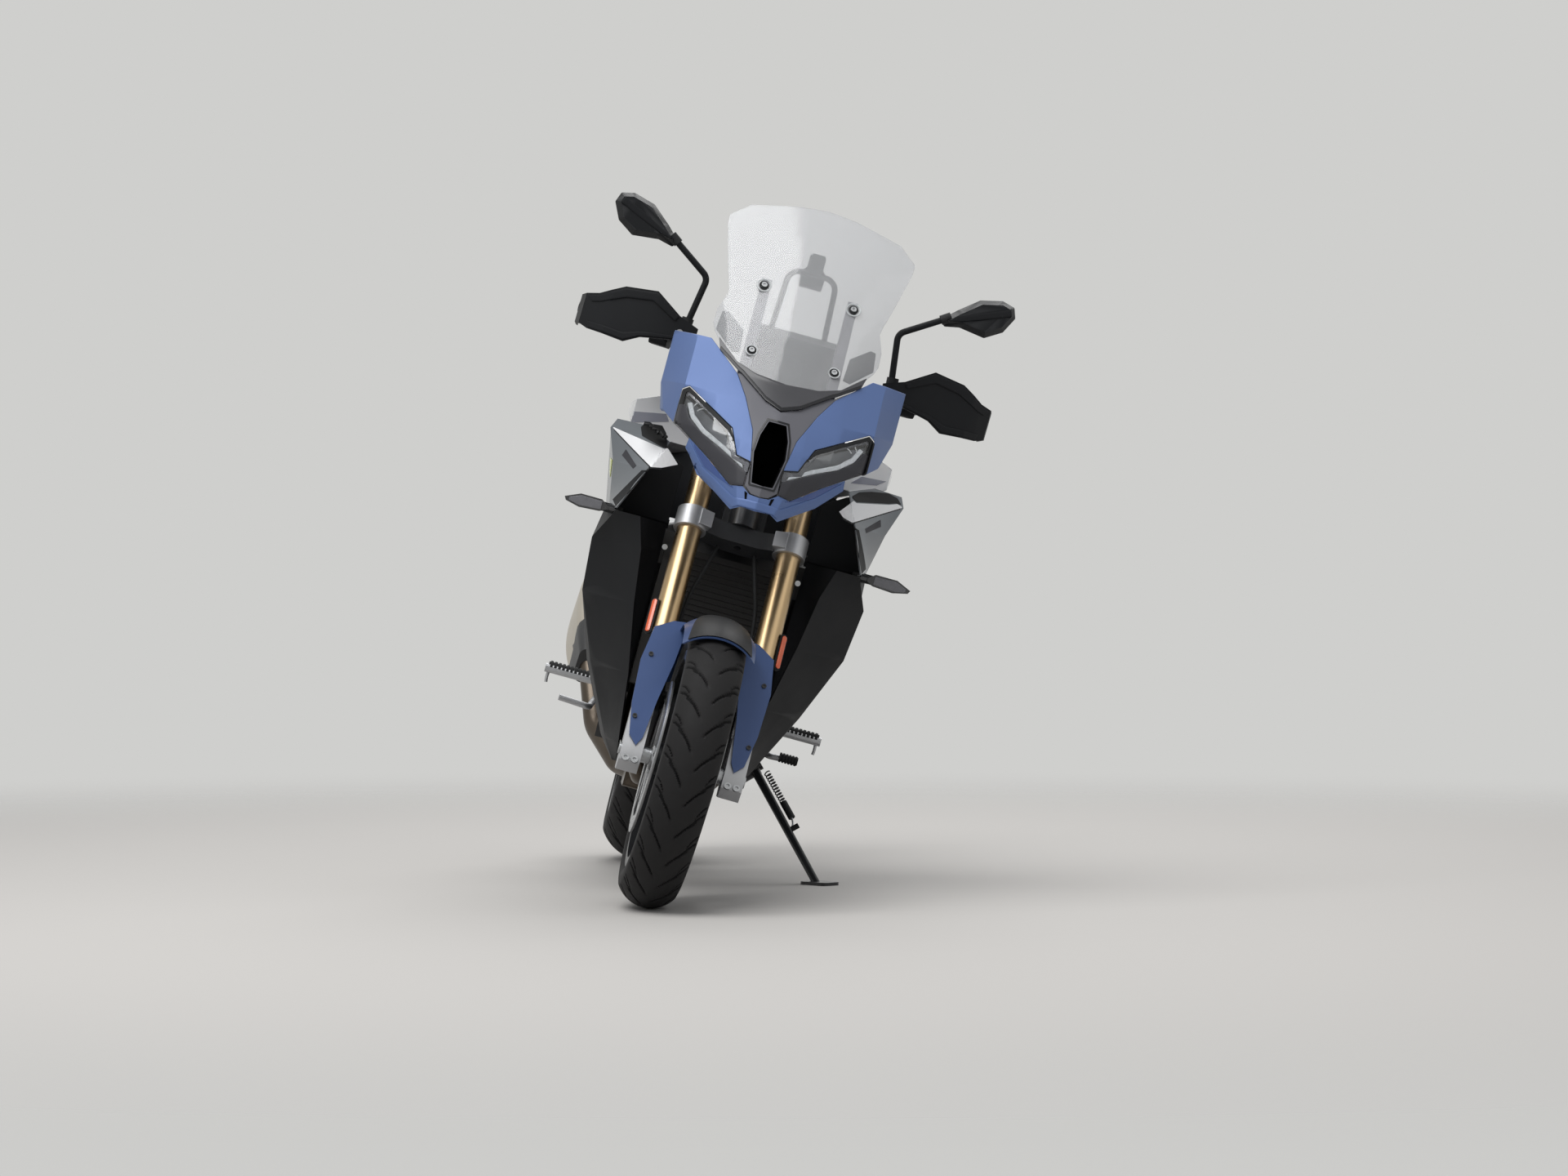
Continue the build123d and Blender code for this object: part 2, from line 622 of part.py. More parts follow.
with BuildPart() as engine:
    side_prism([(-272, 500), (-262, 360), (-150, 300), (40, 300), (96, 340), (116, 440), (60, 560),
                (-70, 590)], Mode.ADD, -128, 128)
    side_prism([(-262, 520), (-262, 404), (-60, 388), (4, 410), (-10, 540), (-80, 570)],
               Mode.ADD, -168, 168)
    side_prism([(-258, 500), (-345, 690), (-316, 762), (-262, 770), (-178, 720), (-70, 580)],
               Mode.ADD, -178, 178)
    with BuildSketch(Plane.YZ.offset(168)) as alternator:
        with Locations((-150, 446)):
            Circle(56)
    extrude(alternator.sketch, amount=24, taper=12)
    with BuildSketch(Plane.YZ.offset(-168)) as clutch:
        with Locations((-118, 452)):
            Circle(62)
    extrude(clutch.sketch, amount=-26, taper=12)
    side_prism([(-26, 350), (60, 350), (90, 332), (130, 320), (130, 482), (-26, 482)], Mode.SUBTRACT, 99, 240)
    with BuildSketch(Plane.YZ.offset(90)) as output:
        with Locations((output_y, output_z)):
            Circle(14)
    extrude(output.sketch, amount=chain_x + 12 - 90)
    sprocket((0, output_y, output_z), engine_pitch_radius, engine_teeth, chain_x - sprocket_width / 2)

swing_outer = 150.0
shock_foot_y = 250.0
shock_foot_z = 452.0
swing_depth = 26.0
spool_y = 690.0
spool_z = 328.0
spool_hole_radius = 4.25    # tapped for a paddock stand's spool
spool_hole_depth = 16.0
with BuildPart() as swingarm:
    arm_plan = [(128, 222), (swing_outer, 300), (swing_outer, 806)]
    plan_prism(arm_plan + inset_line(arm_plan, swing_depth)[::-1], Mode.ADD, 250, 500)
    side_prism([(222, 372), (300, 362), (700, 282), (806, 288), (812, 352), (700, 372), (420, 440),
                (222, 430)], Mode.INTERSECT)
    mirror(about=Plane.YZ)
    side_prism([(130, 374), (300, 366), (300, 432), (130, 426)], Mode.ADD, -128, 128)
    side_prism([(120, 360), (200, 385), (200, 415), (120, 440)], Mode.SUBTRACT, -104, 104)
    for side in (1, -1):
        side_prism([(226, 420), (274, 420), (266, 466), (236, 466)], Mode.ADD, side * 14.3, side * 26)
    with BuildSketch(Plane.YZ.offset(-25)) as shock_pin:
        with Locations((shock_foot_y, shock_foot_z)):
            Circle(7)
    extrude(shock_pin.sketch, amount=50)
    with BuildSketch(Plane.YZ.offset(-swing_outer - 10)) as swing_bores:
        with Locations((pivot_y, pivot_z)):
            Circle(pivot_radius + bearing_gap)
        with Locations((rear_y, rear_radius)):
            Circle(rear_axle_bar + bearing_gap)
    extrude(swing_bores.sketch, amount=2 * swing_outer + 20, mode=Mode.SUBTRACT)
    for side in (1, -1):
        with BuildSketch(Plane.YZ.offset(side * swing_outer)) as spool_hole:
            with Locations((spool_y, spool_z)):
                Circle(spool_hole_radius)
        extrude(spool_hole.sketch, amount=-side * spool_hole_depth, mode=Mode.SUBTRACT)

with BuildPart() as rear_axle_bar_piece:
    with BuildSketch(wheel_face(rear_axle, -swing_outer - 12)) as rear_round:
        Circle(rear_axle_bar)
    extrude(rear_round.sketch, amount=2 * swing_outer + 24)
    for side, start in ((1, chain_x + sprocket_width / 2 + 0.4), (-1, rear_hub_half + disc_thickness + 0.4)):
        with BuildSketch(wheel_face(rear_axle, side * start)) as rear_spacer:
            Circle(22)
        extrude(rear_spacer.sketch, amount=side * (swing_outer - swing_depth - 0.3 - start))
        with BuildSketch(wheel_face(rear_axle, side * (swing_outer + 0.3))) as axle_nut:
            RegularPolygon(22, 6)
        extrude(axle_nut.sketch, amount=side * 14)

with BuildPart() as rear_caliper:
    rear_disc_x = -rear_hub_half - disc_thickness / 2
    with BuildSketch(wheel_face(rear_axle, rear_disc_x - 30)) as rear_body:
        Polygon(wheel_polar(92, -62), wheel_polar(150, -66), wheel_polar(154, -44), wheel_polar(150, -22),
                wheel_polar(92, -26), align=None)
    extrude(rear_body.sketch, amount=56)
    with BuildSketch(wheel_face(rear_axle, rear_disc_x - disc_slot / 2)) as rear_slot:
        Circle(rear_disc_radius + running_gap)
    extrude(rear_slot.sketch, amount=disc_slot, mode=Mode.SUBTRACT)
    with BuildSketch(wheel_face(rear_axle, -swing_outer + swing_depth + seam)) as rear_bracket:
        Circle(36)
        Polygon((-30, 20), wheel_polar(140, -60), wheel_polar(140, -28), (20, 30), align=None)
        Circle(22 + 0.1, mode=Mode.SUBTRACT)
    extrude(rear_bracket.sketch, amount=24)

with BuildPart() as shock:
    shock_low = Vector(0, shock_foot_y, shock_foot_z)
    shock_high = Vector(0, shock_top_y, shock_top_z)
    shock_run = (shock_high - shock_low).normalized()
    with BuildSketch(Plane(origin=shock_low, z_dir=shock_run)) as damper:
        Circle(12)
    extrude(damper.sketch, amount=(shock_high - shock_low).length)
    spring_turns = 8
    turn_rise = 16.5
    with BuildSketch(Plane(origin=shock_low + shock_run * 26, x_dir=(1, 0, 0),
                           z_dir=Vector(1, 0, 0).cross(shock_run))) as coil:
        ridges = []
        for i in range(spring_turns):
            ridges += [(26, i * turn_rise), (33, (i + 0.3) * turn_rise), (33, (i + 0.7) * turn_rise)]
        Polygon((0, 0), *ridges, (26, spring_turns * turn_rise), (0, spring_turns * turn_rise), align=None)
    revolve(coil.sketch, axis=Axis(shock_low, shock_run))
    with BuildSketch(Plane.YZ.offset(-14)) as eyes:
        with Locations((shock_foot_y, shock_foot_z)):
            Circle(16)
        with Locations((shock_top_y, shock_top_z)):
            Circle(shock_bar + 10)
    extrude(eyes.sketch, amount=28)
    with BuildSketch(Plane.YZ.offset(-40)) as eye_bores:
        with Locations((shock_foot_y, shock_foot_z)):
            Circle(7 + bearing_gap)
        with Locations((shock_top_y, shock_top_z)):
            Circle(shock_bar + bearing_gap)
    extrude(eye_bores.sketch, amount=80, mode=Mode.SUBTRACT)

centre_run = hypot(rear_y - output_y, rear_radius - output_z)
chain_slope = atan2(rear_radius - output_z, rear_y - output_y)
chain_spread = asin((sprocket_pitch_radius - engine_pitch_radius) / centre_run)
straight_run = centre_run * cos(chain_spread)
rear_wrap = sprocket_pitch_radius * (pi + 2 * chain_spread)
engine_wrap = engine_pitch_radius * (pi - 2 * chain_spread)


def chain_point(run):
    """Point of the chain's pitch line, (back, up) from the engine sprocket, a run along the loop."""
    top = chain_slope + chain_spread + pi / 2
    low = chain_slope - chain_spread - pi / 2
    if run < straight_run:
        radius, turn, ahead, centre = engine_pitch_radius, top, run, 0
    elif run < straight_run + rear_wrap:
        radius, ahead, centre = sprocket_pitch_radius, 0, centre_run
        turn = top - (run - straight_run) / radius
    elif run < 2 * straight_run + rear_wrap:
        radius, turn, ahead, centre = sprocket_pitch_radius, low, run - straight_run - rear_wrap, centre_run
    else:
        radius, ahead, centre = engine_pitch_radius, 0, 0
        turn = low - (run - 2 * straight_run - rear_wrap) / radius
    return (centre * cos(chain_slope) + radius * cos(turn) + ahead * sin(turn),
            centre * sin(chain_slope) + radius * sin(turn) - ahead * cos(turn))


with BuildPart() as chain:
    for grow, mode in ((7.0, Mode.ADD), (-roller, Mode.SUBTRACT)):
        with BuildSketch(wheel_face((0, output_y, output_z), chain_x - chain_band / 2)) as loop:
            Circle(engine_pitch_radius + grow)
            with Locations((rear_y - output_y, rear_radius - output_z)):
                Circle(sprocket_pitch_radius + grow)
            make_hull()
        extrude(loop.sketch, amount=chain_band, mode=mode)
    loop_length = 2 * straight_run + rear_wrap + engine_wrap
    link_pairs = round(loop_length / chain_pitch / 2)
    pair_step = loop_length / link_pairs
    for start in (chain_x - chain_width / 2, chain_x + chain_band / 2):
        with BuildSketch(wheel_face((0, output_y, output_z), start)) as plates:
            for i in range(link_pairs):
                back_pin = Vector(*chain_point(i * pair_step))
                front_pin = Vector(*chain_point(i * pair_step + pair_step / 2))
                along = (front_pin - back_pin).normalized()
                rise = Vector(-along.Y, along.X) * 6
                tips = [back_pin - along * 5 - rise, front_pin + along * 5 - rise,
                        front_pin + along * 5 + rise, back_pin - along * 5 + rise]
                Polygon(*[(tip.X, tip.Y) for tip in tips], align=None)
        extrude(plates.sketch, amount=chain_plate)

with BuildPart() as radiator:
    core_low = Vector(0, -455, 430)
    core_high = Vector(0, -412, 732)
    core_up = (core_high - core_low).normalized()
    core_plane = Plane(origin=core_low, x_dir=(1, 0, 0), z_dir=(0, -core_up.Z, core_up.Y))
    core_height = (core_high - core_low).length
    with BuildSketch(core_plane) as core:
        with Locations((0, core_height / 2)):
            Rectangle(256, core_height)
    extrude(core.sketch, amount=8, both=True)
    with BuildSketch(core_plane) as tanks:
        with Locations((134, core_height / 2), (-134, core_height / 2)):
            Rectangle(20, core_height)
        with Locations((0, 6), (0, core_height - 6)):
            Rectangle(284, 14)
    extrude(tanks.sketch, amount=14, both=True)
    fin_pitch = 12.0
    fin_count = int((core_height - 40) / fin_pitch)
    with BuildSketch(core_plane.offset(8)) as fins:
        with Locations((0, core_height / 2)):
            with GridLocations(10, fin_pitch, 1, fin_count):
                Rectangle(256, 2.4)
    extrude(fins.sketch, amount=4)
    with BuildSketch(Plane(origin=(0, -300, 0), x_dir=(1, 0, 0), z_dir=(0, -1, 0))) as stays:
        with Locations((100, 700), (-100, 700)):
            Circle(9)
    extrude(stays.sketch, amount=112)
    add(engine.part, mode=Mode.SUBTRACT)

with BuildPart() as exhaust_headers:
    for x in (-120, -44, 44, 120):
        run_tube([(x, -300, 650), (x, -392, 608), (x, -392, 330), (x * 0.55, -300, 238), (x * 0.5, -130, 232)],
                 [22, 70, 60], 19)
    side_prism([(-140, 204), (-120, 200), (60, 200), (96, 222), (96, 262), (-120, 262), (-140, 256)],
               Mode.ADD, -92, 92)
    run_tube([(-60, 60, 232), (-110, 130, 236), (-180, 240, 300), (-230, 330, 434)], [70, 90], 24)
    add(engine.part, mode=Mode.SUBTRACT)

rail_half = 104.0
rail_radius = 12.0
rail_outer = rail_half + rail_radius + seam
with BuildPart() as silencer:
    silencer_low = Vector(-222, 312, 424)
    silencer_high = Vector(-248, 640, 590)
    silencer_run = (silencer_high - silencer_low).normalized()
    silencer_side = Vector(0, 0, 1).cross(silencer_run).normalized()
    silencer_length = (silencer_high - silencer_low).length
    for share, wide, tall in ((0, 70, 90), (0.25, 100, 136), (0.8, 104, 146), (1, 84, 120)):
        with BuildSketch(Plane(origin=silencer_low + silencer_run * (silencer_length * share),
                               x_dir=silencer_side, z_dir=silencer_run)):
            RectangleRounded(wide, tall, 0.3 * wide)
    loft()
    add(exhaust_headers.part, mode=Mode.SUBTRACT)
    front_prism([(-rail_outer, 802), (-rail_outer, 778), (-190, 550), (-214, 550), (-rail_outer - 7, 780),
                 (-rail_outer - 7, 802)], Mode.ADD, 430, 470)

# ================================================================ front bodywork
# Level lines of the nose, left half from the middle outwards.
nose_levels = [
    (825, [(0, -960), (36, -950), (60, -915), (85, -870), (100, -800), (108, -560)]),
    (880, [(0, -953), (50, -936), (95, -893), (132, -850), (158, -780), (168, -560)]),
    (930, [(0, -945), (62, -920), (118, -878), (170, -825), (196, -750), (206, -560)]),
    (970, [(0, -925), (62, -905), (125, -872), (190, -812), (222, -735), (230, -560)]),
    (1050, [(0, -862), (60, -850), (130, -832), (200, -795), (247, -680), (248, -560)]),
    (1175, [(0, -768), (60, -758), (130, -738), (200, -702), (248, -648), (249, -560)]),
]
nose_back = -600.0


def nose_form(inset):
    """The nose as one faceted solid, or the same a wall's depth smaller."""
    sections = []
    for height, half in nose_levels:
        with BuildSketch(Plane.XY.offset(height)) as section:
            Polygon(*both_sides(half), align=None)
            if inset:
                offset(amount=-inset, kind=Kind.INTERSECTION)
        sections += section.sketch.faces()
    loft(sections, ruled=True)


with BuildPart() as nose_solid:
    nose_form(0)
with BuildPart() as nose_core:
    nose_form(wall)
with BuildPart() as nose_shell:
    add(nose_solid.part)
    add(nose_core.part, mode=Mode.SUBTRACT)
    with BuildSketch(Plane.XY.offset(700)) as nose_open:
        with Locations((0, nose_back + 200)):
            Rectangle(700, 400)
    extrude(nose_open.sketch, amount=600, mode=Mode.SUBTRACT)

# panel edges in front view, left half
ear_edge = [(172, 1160), (104, 1100), (76, 1056), (46, 993), (34, 928)]
lamp_top_edge = [(64, 935), (86, 987), (190, 1049)]
ear_outline = ear_edge + lamp_top_edge + [(203, 1041), (203, 970), (252, 1012), (252, 1160)]
edge_gap = 1.3 * seam       # measured straight up or across, at edges that slant
lamp_sill = [(164, 946.4), (120, 916.5), (62, 872.5), (37, 877)]
lamp_outline = [(35, 926), (65, 933), (87, 985), (190, 1047), (202, 1039), (202, 972)] + lamp_sill
beak_outline = [(x, z - edge_gap) for x, z in reversed(lamp_sill)]
beak_outline += [(166, 925), (118, 874), (49, 826), (30, 836), (-1, 834), (-1, 862), (20, 864)]
nose_half = [(0, 1043), (36, 1058), (94, 1102)] + [(x - edge_gap, z) for x, z in ear_edge[1:]]
nose_half += [(34, 880), (18, 866), (0, 864)]
intake_half = [(0, 1021), (20, 1021), (31, 988), (35, 950), (24, 886), (0, 884)]

with BuildPart() as front_cowl:
    add(nose_shell.part)
    front_prism(ear_outline, Mode.INTERSECT)
    mirror(about=Plane.YZ)

with BuildPart() as beak:
    add(nose_shell.part)
    front_prism(beak_outline, Mode.INTERSECT)
    mirror(about=Plane.YZ)

lamp_depth = 78.0
carrier_y = -742.0
lamp_bowl = [(44, 918), (72, 927), (93, 978), (186, 1030), (195, 1022), (195, 978), (160, 955), (116, 925),
             (64, 882), (45, 885)]
with BuildPart() as headlight_lenses:
    add(nose_shell.part)
    front_prism(lamp_outline, Mode.INTERSECT)
    mirror(about=Plane.YZ)

with BuildPart() as headlights:
    add(nose_core.part)
    add(Pos(0, lamp_depth, 0) * nose_solid.part, mode=Mode.SUBTRACT)
    front_prism(lamp_outline, Mode.INTERSECT)
    with BuildPart(mode=Mode.PRIVATE) as bowl:
        front_prism(lamp_bowl, Mode.ADD)
        add(Pos(0, lamp_depth - 10, 0) * nose_solid.part, mode=Mode.SUBTRACT)
    add(bowl.part, mode=Mode.SUBTRACT)
    with BuildSketch(Plane(origin=(0, carrier_y - 10 - seam, 0), x_dir=(1, 0, 0), z_dir=(0, -1, 0))) as lamp_post:
        with Locations((108, 976)):
            Circle(10)
    extrude(lamp_post.sketch, amount=60)
    mirror(about=Plane.YZ)

# panel between the lamps with its intake, whose duct runs back to the carrier
with BuildPart() as nose_panel:
    add(nose_shell.part)
    front_prism(both_sides(nose_half), Mode.INTERSECT)
    with BuildPart(mode=Mode.PRIVATE) as duct:
        add(nose_solid.part)
        front_prism(both_sides(intake_half), Mode.INTERSECT, far=carrier_y - 10 - seam)
    add(duct.part)
    with BuildPart(mode=Mode.PRIVATE) as mouth:
        with BuildSketch(Plane(origin=(0, -1200, 0), x_dir=(1, 0, 0), z_dir=(0, -1, 0))) as mouth_face:
            Polygon(*both_sides(intake_half), align=None)
            offset(amount=-2.5, kind=Kind.INTERSECTION)
        extrude(mouth_face.sketch, amount=-600)
    add(mouth.part, mode=Mode.SUBTRACT)

# windscreen: height, half width, middle y, edge y of each level
screen_thick = 4.0
screen_levels = [(1090, 130, -822, -778), (1190, 178, -762, -688), (1300, 180, -690, -640),
                 (1400, 200, -624, -585), (1500, 205, -556, -520)]
screen_half = [(0, 1101), (66, 1107), (110, 1122), (152, 1154), (170, 1178), (177, 1195), (176, 1225),
               (163, 1262), (165, 1276), (178, 1320), (203, 1418), (200, 1431), (162, 1462), (60, 1485), (0, 1491)]


def screen_loft(front, back):
    """Curved sheet between two depths behind the screen's outer face, or all that lies ahead of it."""
    sections = []
    for height, half, middle, edge in screen_levels:
        with BuildSketch(Plane.XY.offset(height)) as crescent:
            with BuildLine():
                ThreePointArc((-half, edge + back), (0, middle + back), (half, edge + back))
                if front is None:
                    Polyline((half, edge + back), (half, -1100), (-half, -1100), (-half, edge + back))
                else:
                    Line((half, edge + back), (half, edge + front))
                    ThreePointArc((half, edge + front), (0, middle + front), (-half, edge + front))
                    Line((-half, edge + front), (-half, edge + back))
            make_face()
        sections += crescent.sketch.faces()
    loft(sections, ruled=True)


with BuildPart() as windscreen:
    screen_loft(0, screen_thick)
    front_prism(both_sides(screen_half), Mode.INTERSECT)


def behind_screen(x, height):
    """Y of the screen's inner face at a place across and a height."""
    for low, high in zip(screen_levels, screen_levels[1:]):
        if height <= high[0]:
            break
    ends = []
    for level, half, middle, edge in (low, high):
        bow = edge - middle
        bend = (half ** 2 + bow ** 2) / (2 * bow)
        ends.append(middle + bend - sqrt(bend ** 2 - x ** 2))
    return ends[0] + (ends[1] - ends[0]) * (height - low[0]) / (high[0] - low[0]) + screen_thick


# carrier: arm from the head tube, cross plate behind the lamps and the two screen brackets
with BuildPart() as front_carrier:
    with BuildSketch(steer_plane.offset(axle_station + 655)) as carrier_arm:
        with Locations((0, -34.3 - 175)):
            Rectangle(44, 350)
    extrude(carrier_arm.sketch, amount=34)
    front_prism([(-150, 1030), (-120, 955), (120, 955), (150, 1030), (112, 1092), (-112, 1092)], Mode.ADD,
                carrier_y - 10, carrier_y)
    bracket_in = 81.0
    bracket_out = 103.0
    bracket_front = [(behind_screen(bracket_out, z) + 0.8, z) for z in (1118, 1190, 1300, 1312)]
    side_prism([(-752, 1030), (-756, 1085)] + bracket_front
               + [(-650, 1312), (-686, 1210), (-716, 1120), (-742, 1030)], Mode.ADD, bracket_in, bracket_out)
    mirror(about=Plane.YZ)

nav_back = -596.0
nav_low = 1365.0
nav_high = 1384.0
nav_hole_radius = 2.1
nav_hole_depth = 10.0
with BuildPart() as dash:
    dash_plane = Plane(origin=(0, -600, 1176), x_dir=(1, 0, 0), z_dir=(0, 0.82, 0.57))
    with BuildSketch(dash_plane) as dash_face:
        RectangleRounded(186, 112, 12)
    extrude(dash_face.sketch, amount=-24)
    run_tube([(-58, -618, 1192), (-50, -604, 1350), (50, -604, 1350), (58, -618, 1192)], [26, 26], 6)
    front_prism([(-13, 1350), (13, 1350), (13, 1393), (-13, 1393)], Mode.ADD, nav_back - 16, nav_back)
    with BuildSketch(Plane(origin=(0, nav_back, 0), x_dir=(1, 0, 0), z_dir=(0, -1, 0))) as nav_screws:
        with Locations((0, nav_low), (0, nav_high)):
            Circle(nav_hole_radius)
    extrude(nav_screws.sketch, amount=nav_hole_depth, mode=Mode.SUBTRACT)
    side_prism([(carrier_y + seam, 1062), (carrier_y + seam, 1090), (-640, 1172), (-610, 1150), (-640, 1104)],
               Mode.ADD, -28, 28)

# side fairings: level lines of the left panel, front to back
fairing_levels = [
    (776, [(268, -500), (282, -400), (288, -260), (272, -120)]),
    (872, [(226, -545), (300, -420), (308, -260), (286, -70)]),
    (940, [(196, -520), (324, -400), (322, -280), (292, -60)]),
    (962, [(250, -470), (314, -400), (312, -280), (280, -60)]),
]
with BuildPart() as side_fairings:
    stacked_shell(fairing_levels, wall)
    with BuildSketch(Plane.YZ.offset(beam_outer + seam)) as fairing_stay:
        with Locations((-180, 850)):
            Circle(9)
    extrude(fairing_stay.sketch, amount=86)
    mirror(about=Plane.YZ)

# closing panels between the radiator's top and the side fairings
with BuildPart() as inner_panels:
    front_prism([(152, 775.5), (330, 775.5), (330, 955), (262, 955), (200, 930), (152, 900)], Mode.ADD,
                -414, -410)
    with BuildPart(mode=Mode.PRIVATE) as fairing_room:
        rooms = []
        for height, line in fairing_levels:
            with BuildSketch(Plane.XY.offset(height)) as room:
                Polygon(*line, (0, line[-1][1]), (0, line[0][1]), align=None)
            rooms += room.sketch.faces()
        loft(rooms, ruled=True)
    add(fairing_room.part, mode=Mode.INTERSECT)
    add(side_fairings.part, mode=Mode.SUBTRACT)
    mirror(about=Plane.YZ)

panel_levels = [
    (256, [(118, -304), (124, -306), (132, -300), (134, -200), (128, -120)]),
    (300, [(127, -424), (131, -430), (160, -310), (168, -200), (160, -80)]),
    (448, [(147, -450), (150, -480), (232, -330), (240, -180), (228, -40)]),
    (592, [(150, -446), (178, -505), (290, -350), (290, -200), (280, -60)]),
    (706, [(152, -440), (194, -530), (300, -400), (300, -240), (284, -110)]),
    (772, [(154, -436), (214, -535), (266, -500), (290, -340), (276, -150)]),
]
with BuildPart() as lower_panels:
    stacked_shell(panel_levels, wall)
    with BuildSketch(Plane.YZ.offset(178 + seam)) as panel_stay:
        with Locations((-290, 680)):
            Circle(9)
    extrude(panel_stay.sketch, amount=118)
    mirror(about=Plane.YZ)

# tank cover between the frame and the seat
with BuildPart() as tank_cover:
    side_prism([(-300, 948), (-292, 1046), (-230, 1082), (-120, 1074), (0, 1010), (96, 905), (110, 872),
                (100, 815), (-20, 808), (-180, 890)], Mode.ADD, -320, 320)
    plan_prism(both_sides([(0, -300), (120, -330), (282, -330), (296, -180), (240, -90), (150, 10), (128, 70),
                           (110, 120), (0, 120)]), Mode.INTERSECT, 800, 1100)
    front_prism(both_sides([(0, 1084), (110, 1078), (210, 1050), (292, 1016), (300, 1000), (286, 972), (190, 930),
                            (150, 800), (0, 800)]), Mode.INTERSECT)
    with BuildSketch(Plane.XY.offset(1060)) as filler:
        with Locations((0, -150)):
            Circle(44)
    extrude(filler.sketch, amount=26)
    add(main_frame.part, mode=Mode.SUBTRACT)

tail_wall = 4.0
seat_base = 806.0
with BuildPart() as tail_fairing:
    side_prism([(130, seat_base), (398, seat_base), (414, 842), (560, 858), (722, 896), (726, 934), (800, 944),
                (890, 930), (900, 905), (780, 850), (560, 790), (300, 770), (150, 776)], Mode.ADD, -180, 180)
    plan_prism(both_sides([(0, 120), (118, 120), (162, 260), (166, 400), (140, 560), (104, 760), (56, 905),
                           (0, 912)]), Mode.INTERSECT, 700, 1000)
    with BuildPart(mode=Mode.PRIVATE) as tail_inside:
        side_prism([(110, seat_base - tail_wall), (402, seat_base - tail_wall), (418, 838), (562, 854),
                    (730, 892), (734, 926), (800, 938), (870, 926), (860, 880), (770, 800), (560, 700),
                    (300, 700), (110, 700)], Mode.ADD, -180, 180)
        plan_prism(both_sides([(0, 110), (112, 110), (157, 262), (161, 400), (135, 560), (99, 760), (60, 870),
                               (0, 880)]), Mode.INTERSECT, 690, 1000)
    add(tail_inside.part, mode=Mode.SUBTRACT)

with BuildPart() as seats:
    side_prism([(114, 846), (106, 872), (140, 858), (260, 842), (360, 848), (406, 876), (410, 842), (397, 807),
                (130, seat_base + seam)], Mode.ADD, -170, 170)
    plan_prism(both_sides([(0, 100), (88, 100), (120, 160), (158, 260), (160, 360), (130, 420), (0, 420)]),
               Mode.INTERSECT, 780, 1000)
    add(tank_cover.part, mode=Mode.SUBTRACT)
    with BuildPart(mode=Mode.PRIVATE) as pillion:
        side_prism([(416, 842 + seam), (420, 900), (470, 916), (600, 930), (720, 936), (721.7, 896 + seam),
                    (560, 858 + seam)], Mode.ADD, -170, 170)
        plan_prism(both_sides([(0, 410), (124, 410), (126, 560), (100, 700), (70, 730), (0, 730)]),
                   Mode.INTERSECT, 780, 1000)
    add(pillion.part)
    add(tail_fairing.part, mode=Mode.SUBTRACT)

tube_top_gap = rail_radius + tail_wall + seam
with BuildPart() as subframe:
    run_tube([(176, -30, 760), (rail_half, 150, seat_base - tube_top_gap),
              (rail_half, 490, seat_base - tube_top_gap), (86, 700, 850)], [120, 240], rail_radius)
    run_tube([(146, 70, 640), (120, 190, 716), (rail_half, 420, seat_base - tube_top_gap - 4)], [80], 10)
    mirror(about=Plane.YZ)
    run_tube([(-96, 560, 810), (96, 560, 810)], [], 10)
    run_tube([(-86, 700, 850), (86, 700, 850)], [], 10)
    add(main_frame.part, mode=Mode.SUBTRACT)

rack_y = 818.0
rack_top = 974.0
rack_thick = 14.0
case_grid = 84.0            # between the holes of a top case's plate, both ways
case_hole_radius = 3.3
with BuildPart() as luggage_rack:
    run_tube([(156.8, 470, 826), (186, 476, 830), (182, 690, 948), (80, 806, 967)], [14, 60], 10)
    mirror(about=Plane.YZ)
    with BuildSketch(Plane.XY.offset(rack_top - rack_thick)) as rack_plate:
        with Locations((0, rack_y)):
            RectangleRounded(184, 132, 20)
    extrude(rack_plate.sketch, amount=rack_thick)
    side_prism([(786, 942.5), (800, 944.3), (856, 936.5), (856, 962), (786, 962)], Mode.ADD, -30, 30)
    with BuildSketch(Plane.XY.offset(rack_top - rack_thick)) as case_holes:
        with Locations((0, rack_y)):
            with GridLocations(case_grid, case_grid, 2, 2):
                Circle(case_hole_radius)
    extrude(case_holes.sketch, amount=rack_thick, mode=Mode.SUBTRACT)

with BuildPart() as tail_lamp:
    side_prism([(880, 900), (902, 900), (912, 908), (906, 928), (880, 929)], Mode.ADD, -50, 50)
    add(tail_fairing.part, mode=Mode.SUBTRACT)

with BuildPart() as plate_carrier:
    side_prism([(676, 826), (676, 850), (724, 850), (742, 838), (810, 852), (900, 792), (1010, 742),
                (1062, 566), (1056, 562), (996, 730), (890, 770), (800, 810)], Mode.ADD, -30, 30)
    with BuildSketch(Plane(origin=(0, 1035.5, 654), x_dir=(1, 0, 0), z_dir=(0, 0.959, 0.283))) as plate:
        RectangleRounded(180, 200, 8)
    extrude(plate.sketch, amount=2.5)
    add(tail_fairing.part, mode=Mode.SUBTRACT)
    add(subframe.part, mode=Mode.SUBTRACT)

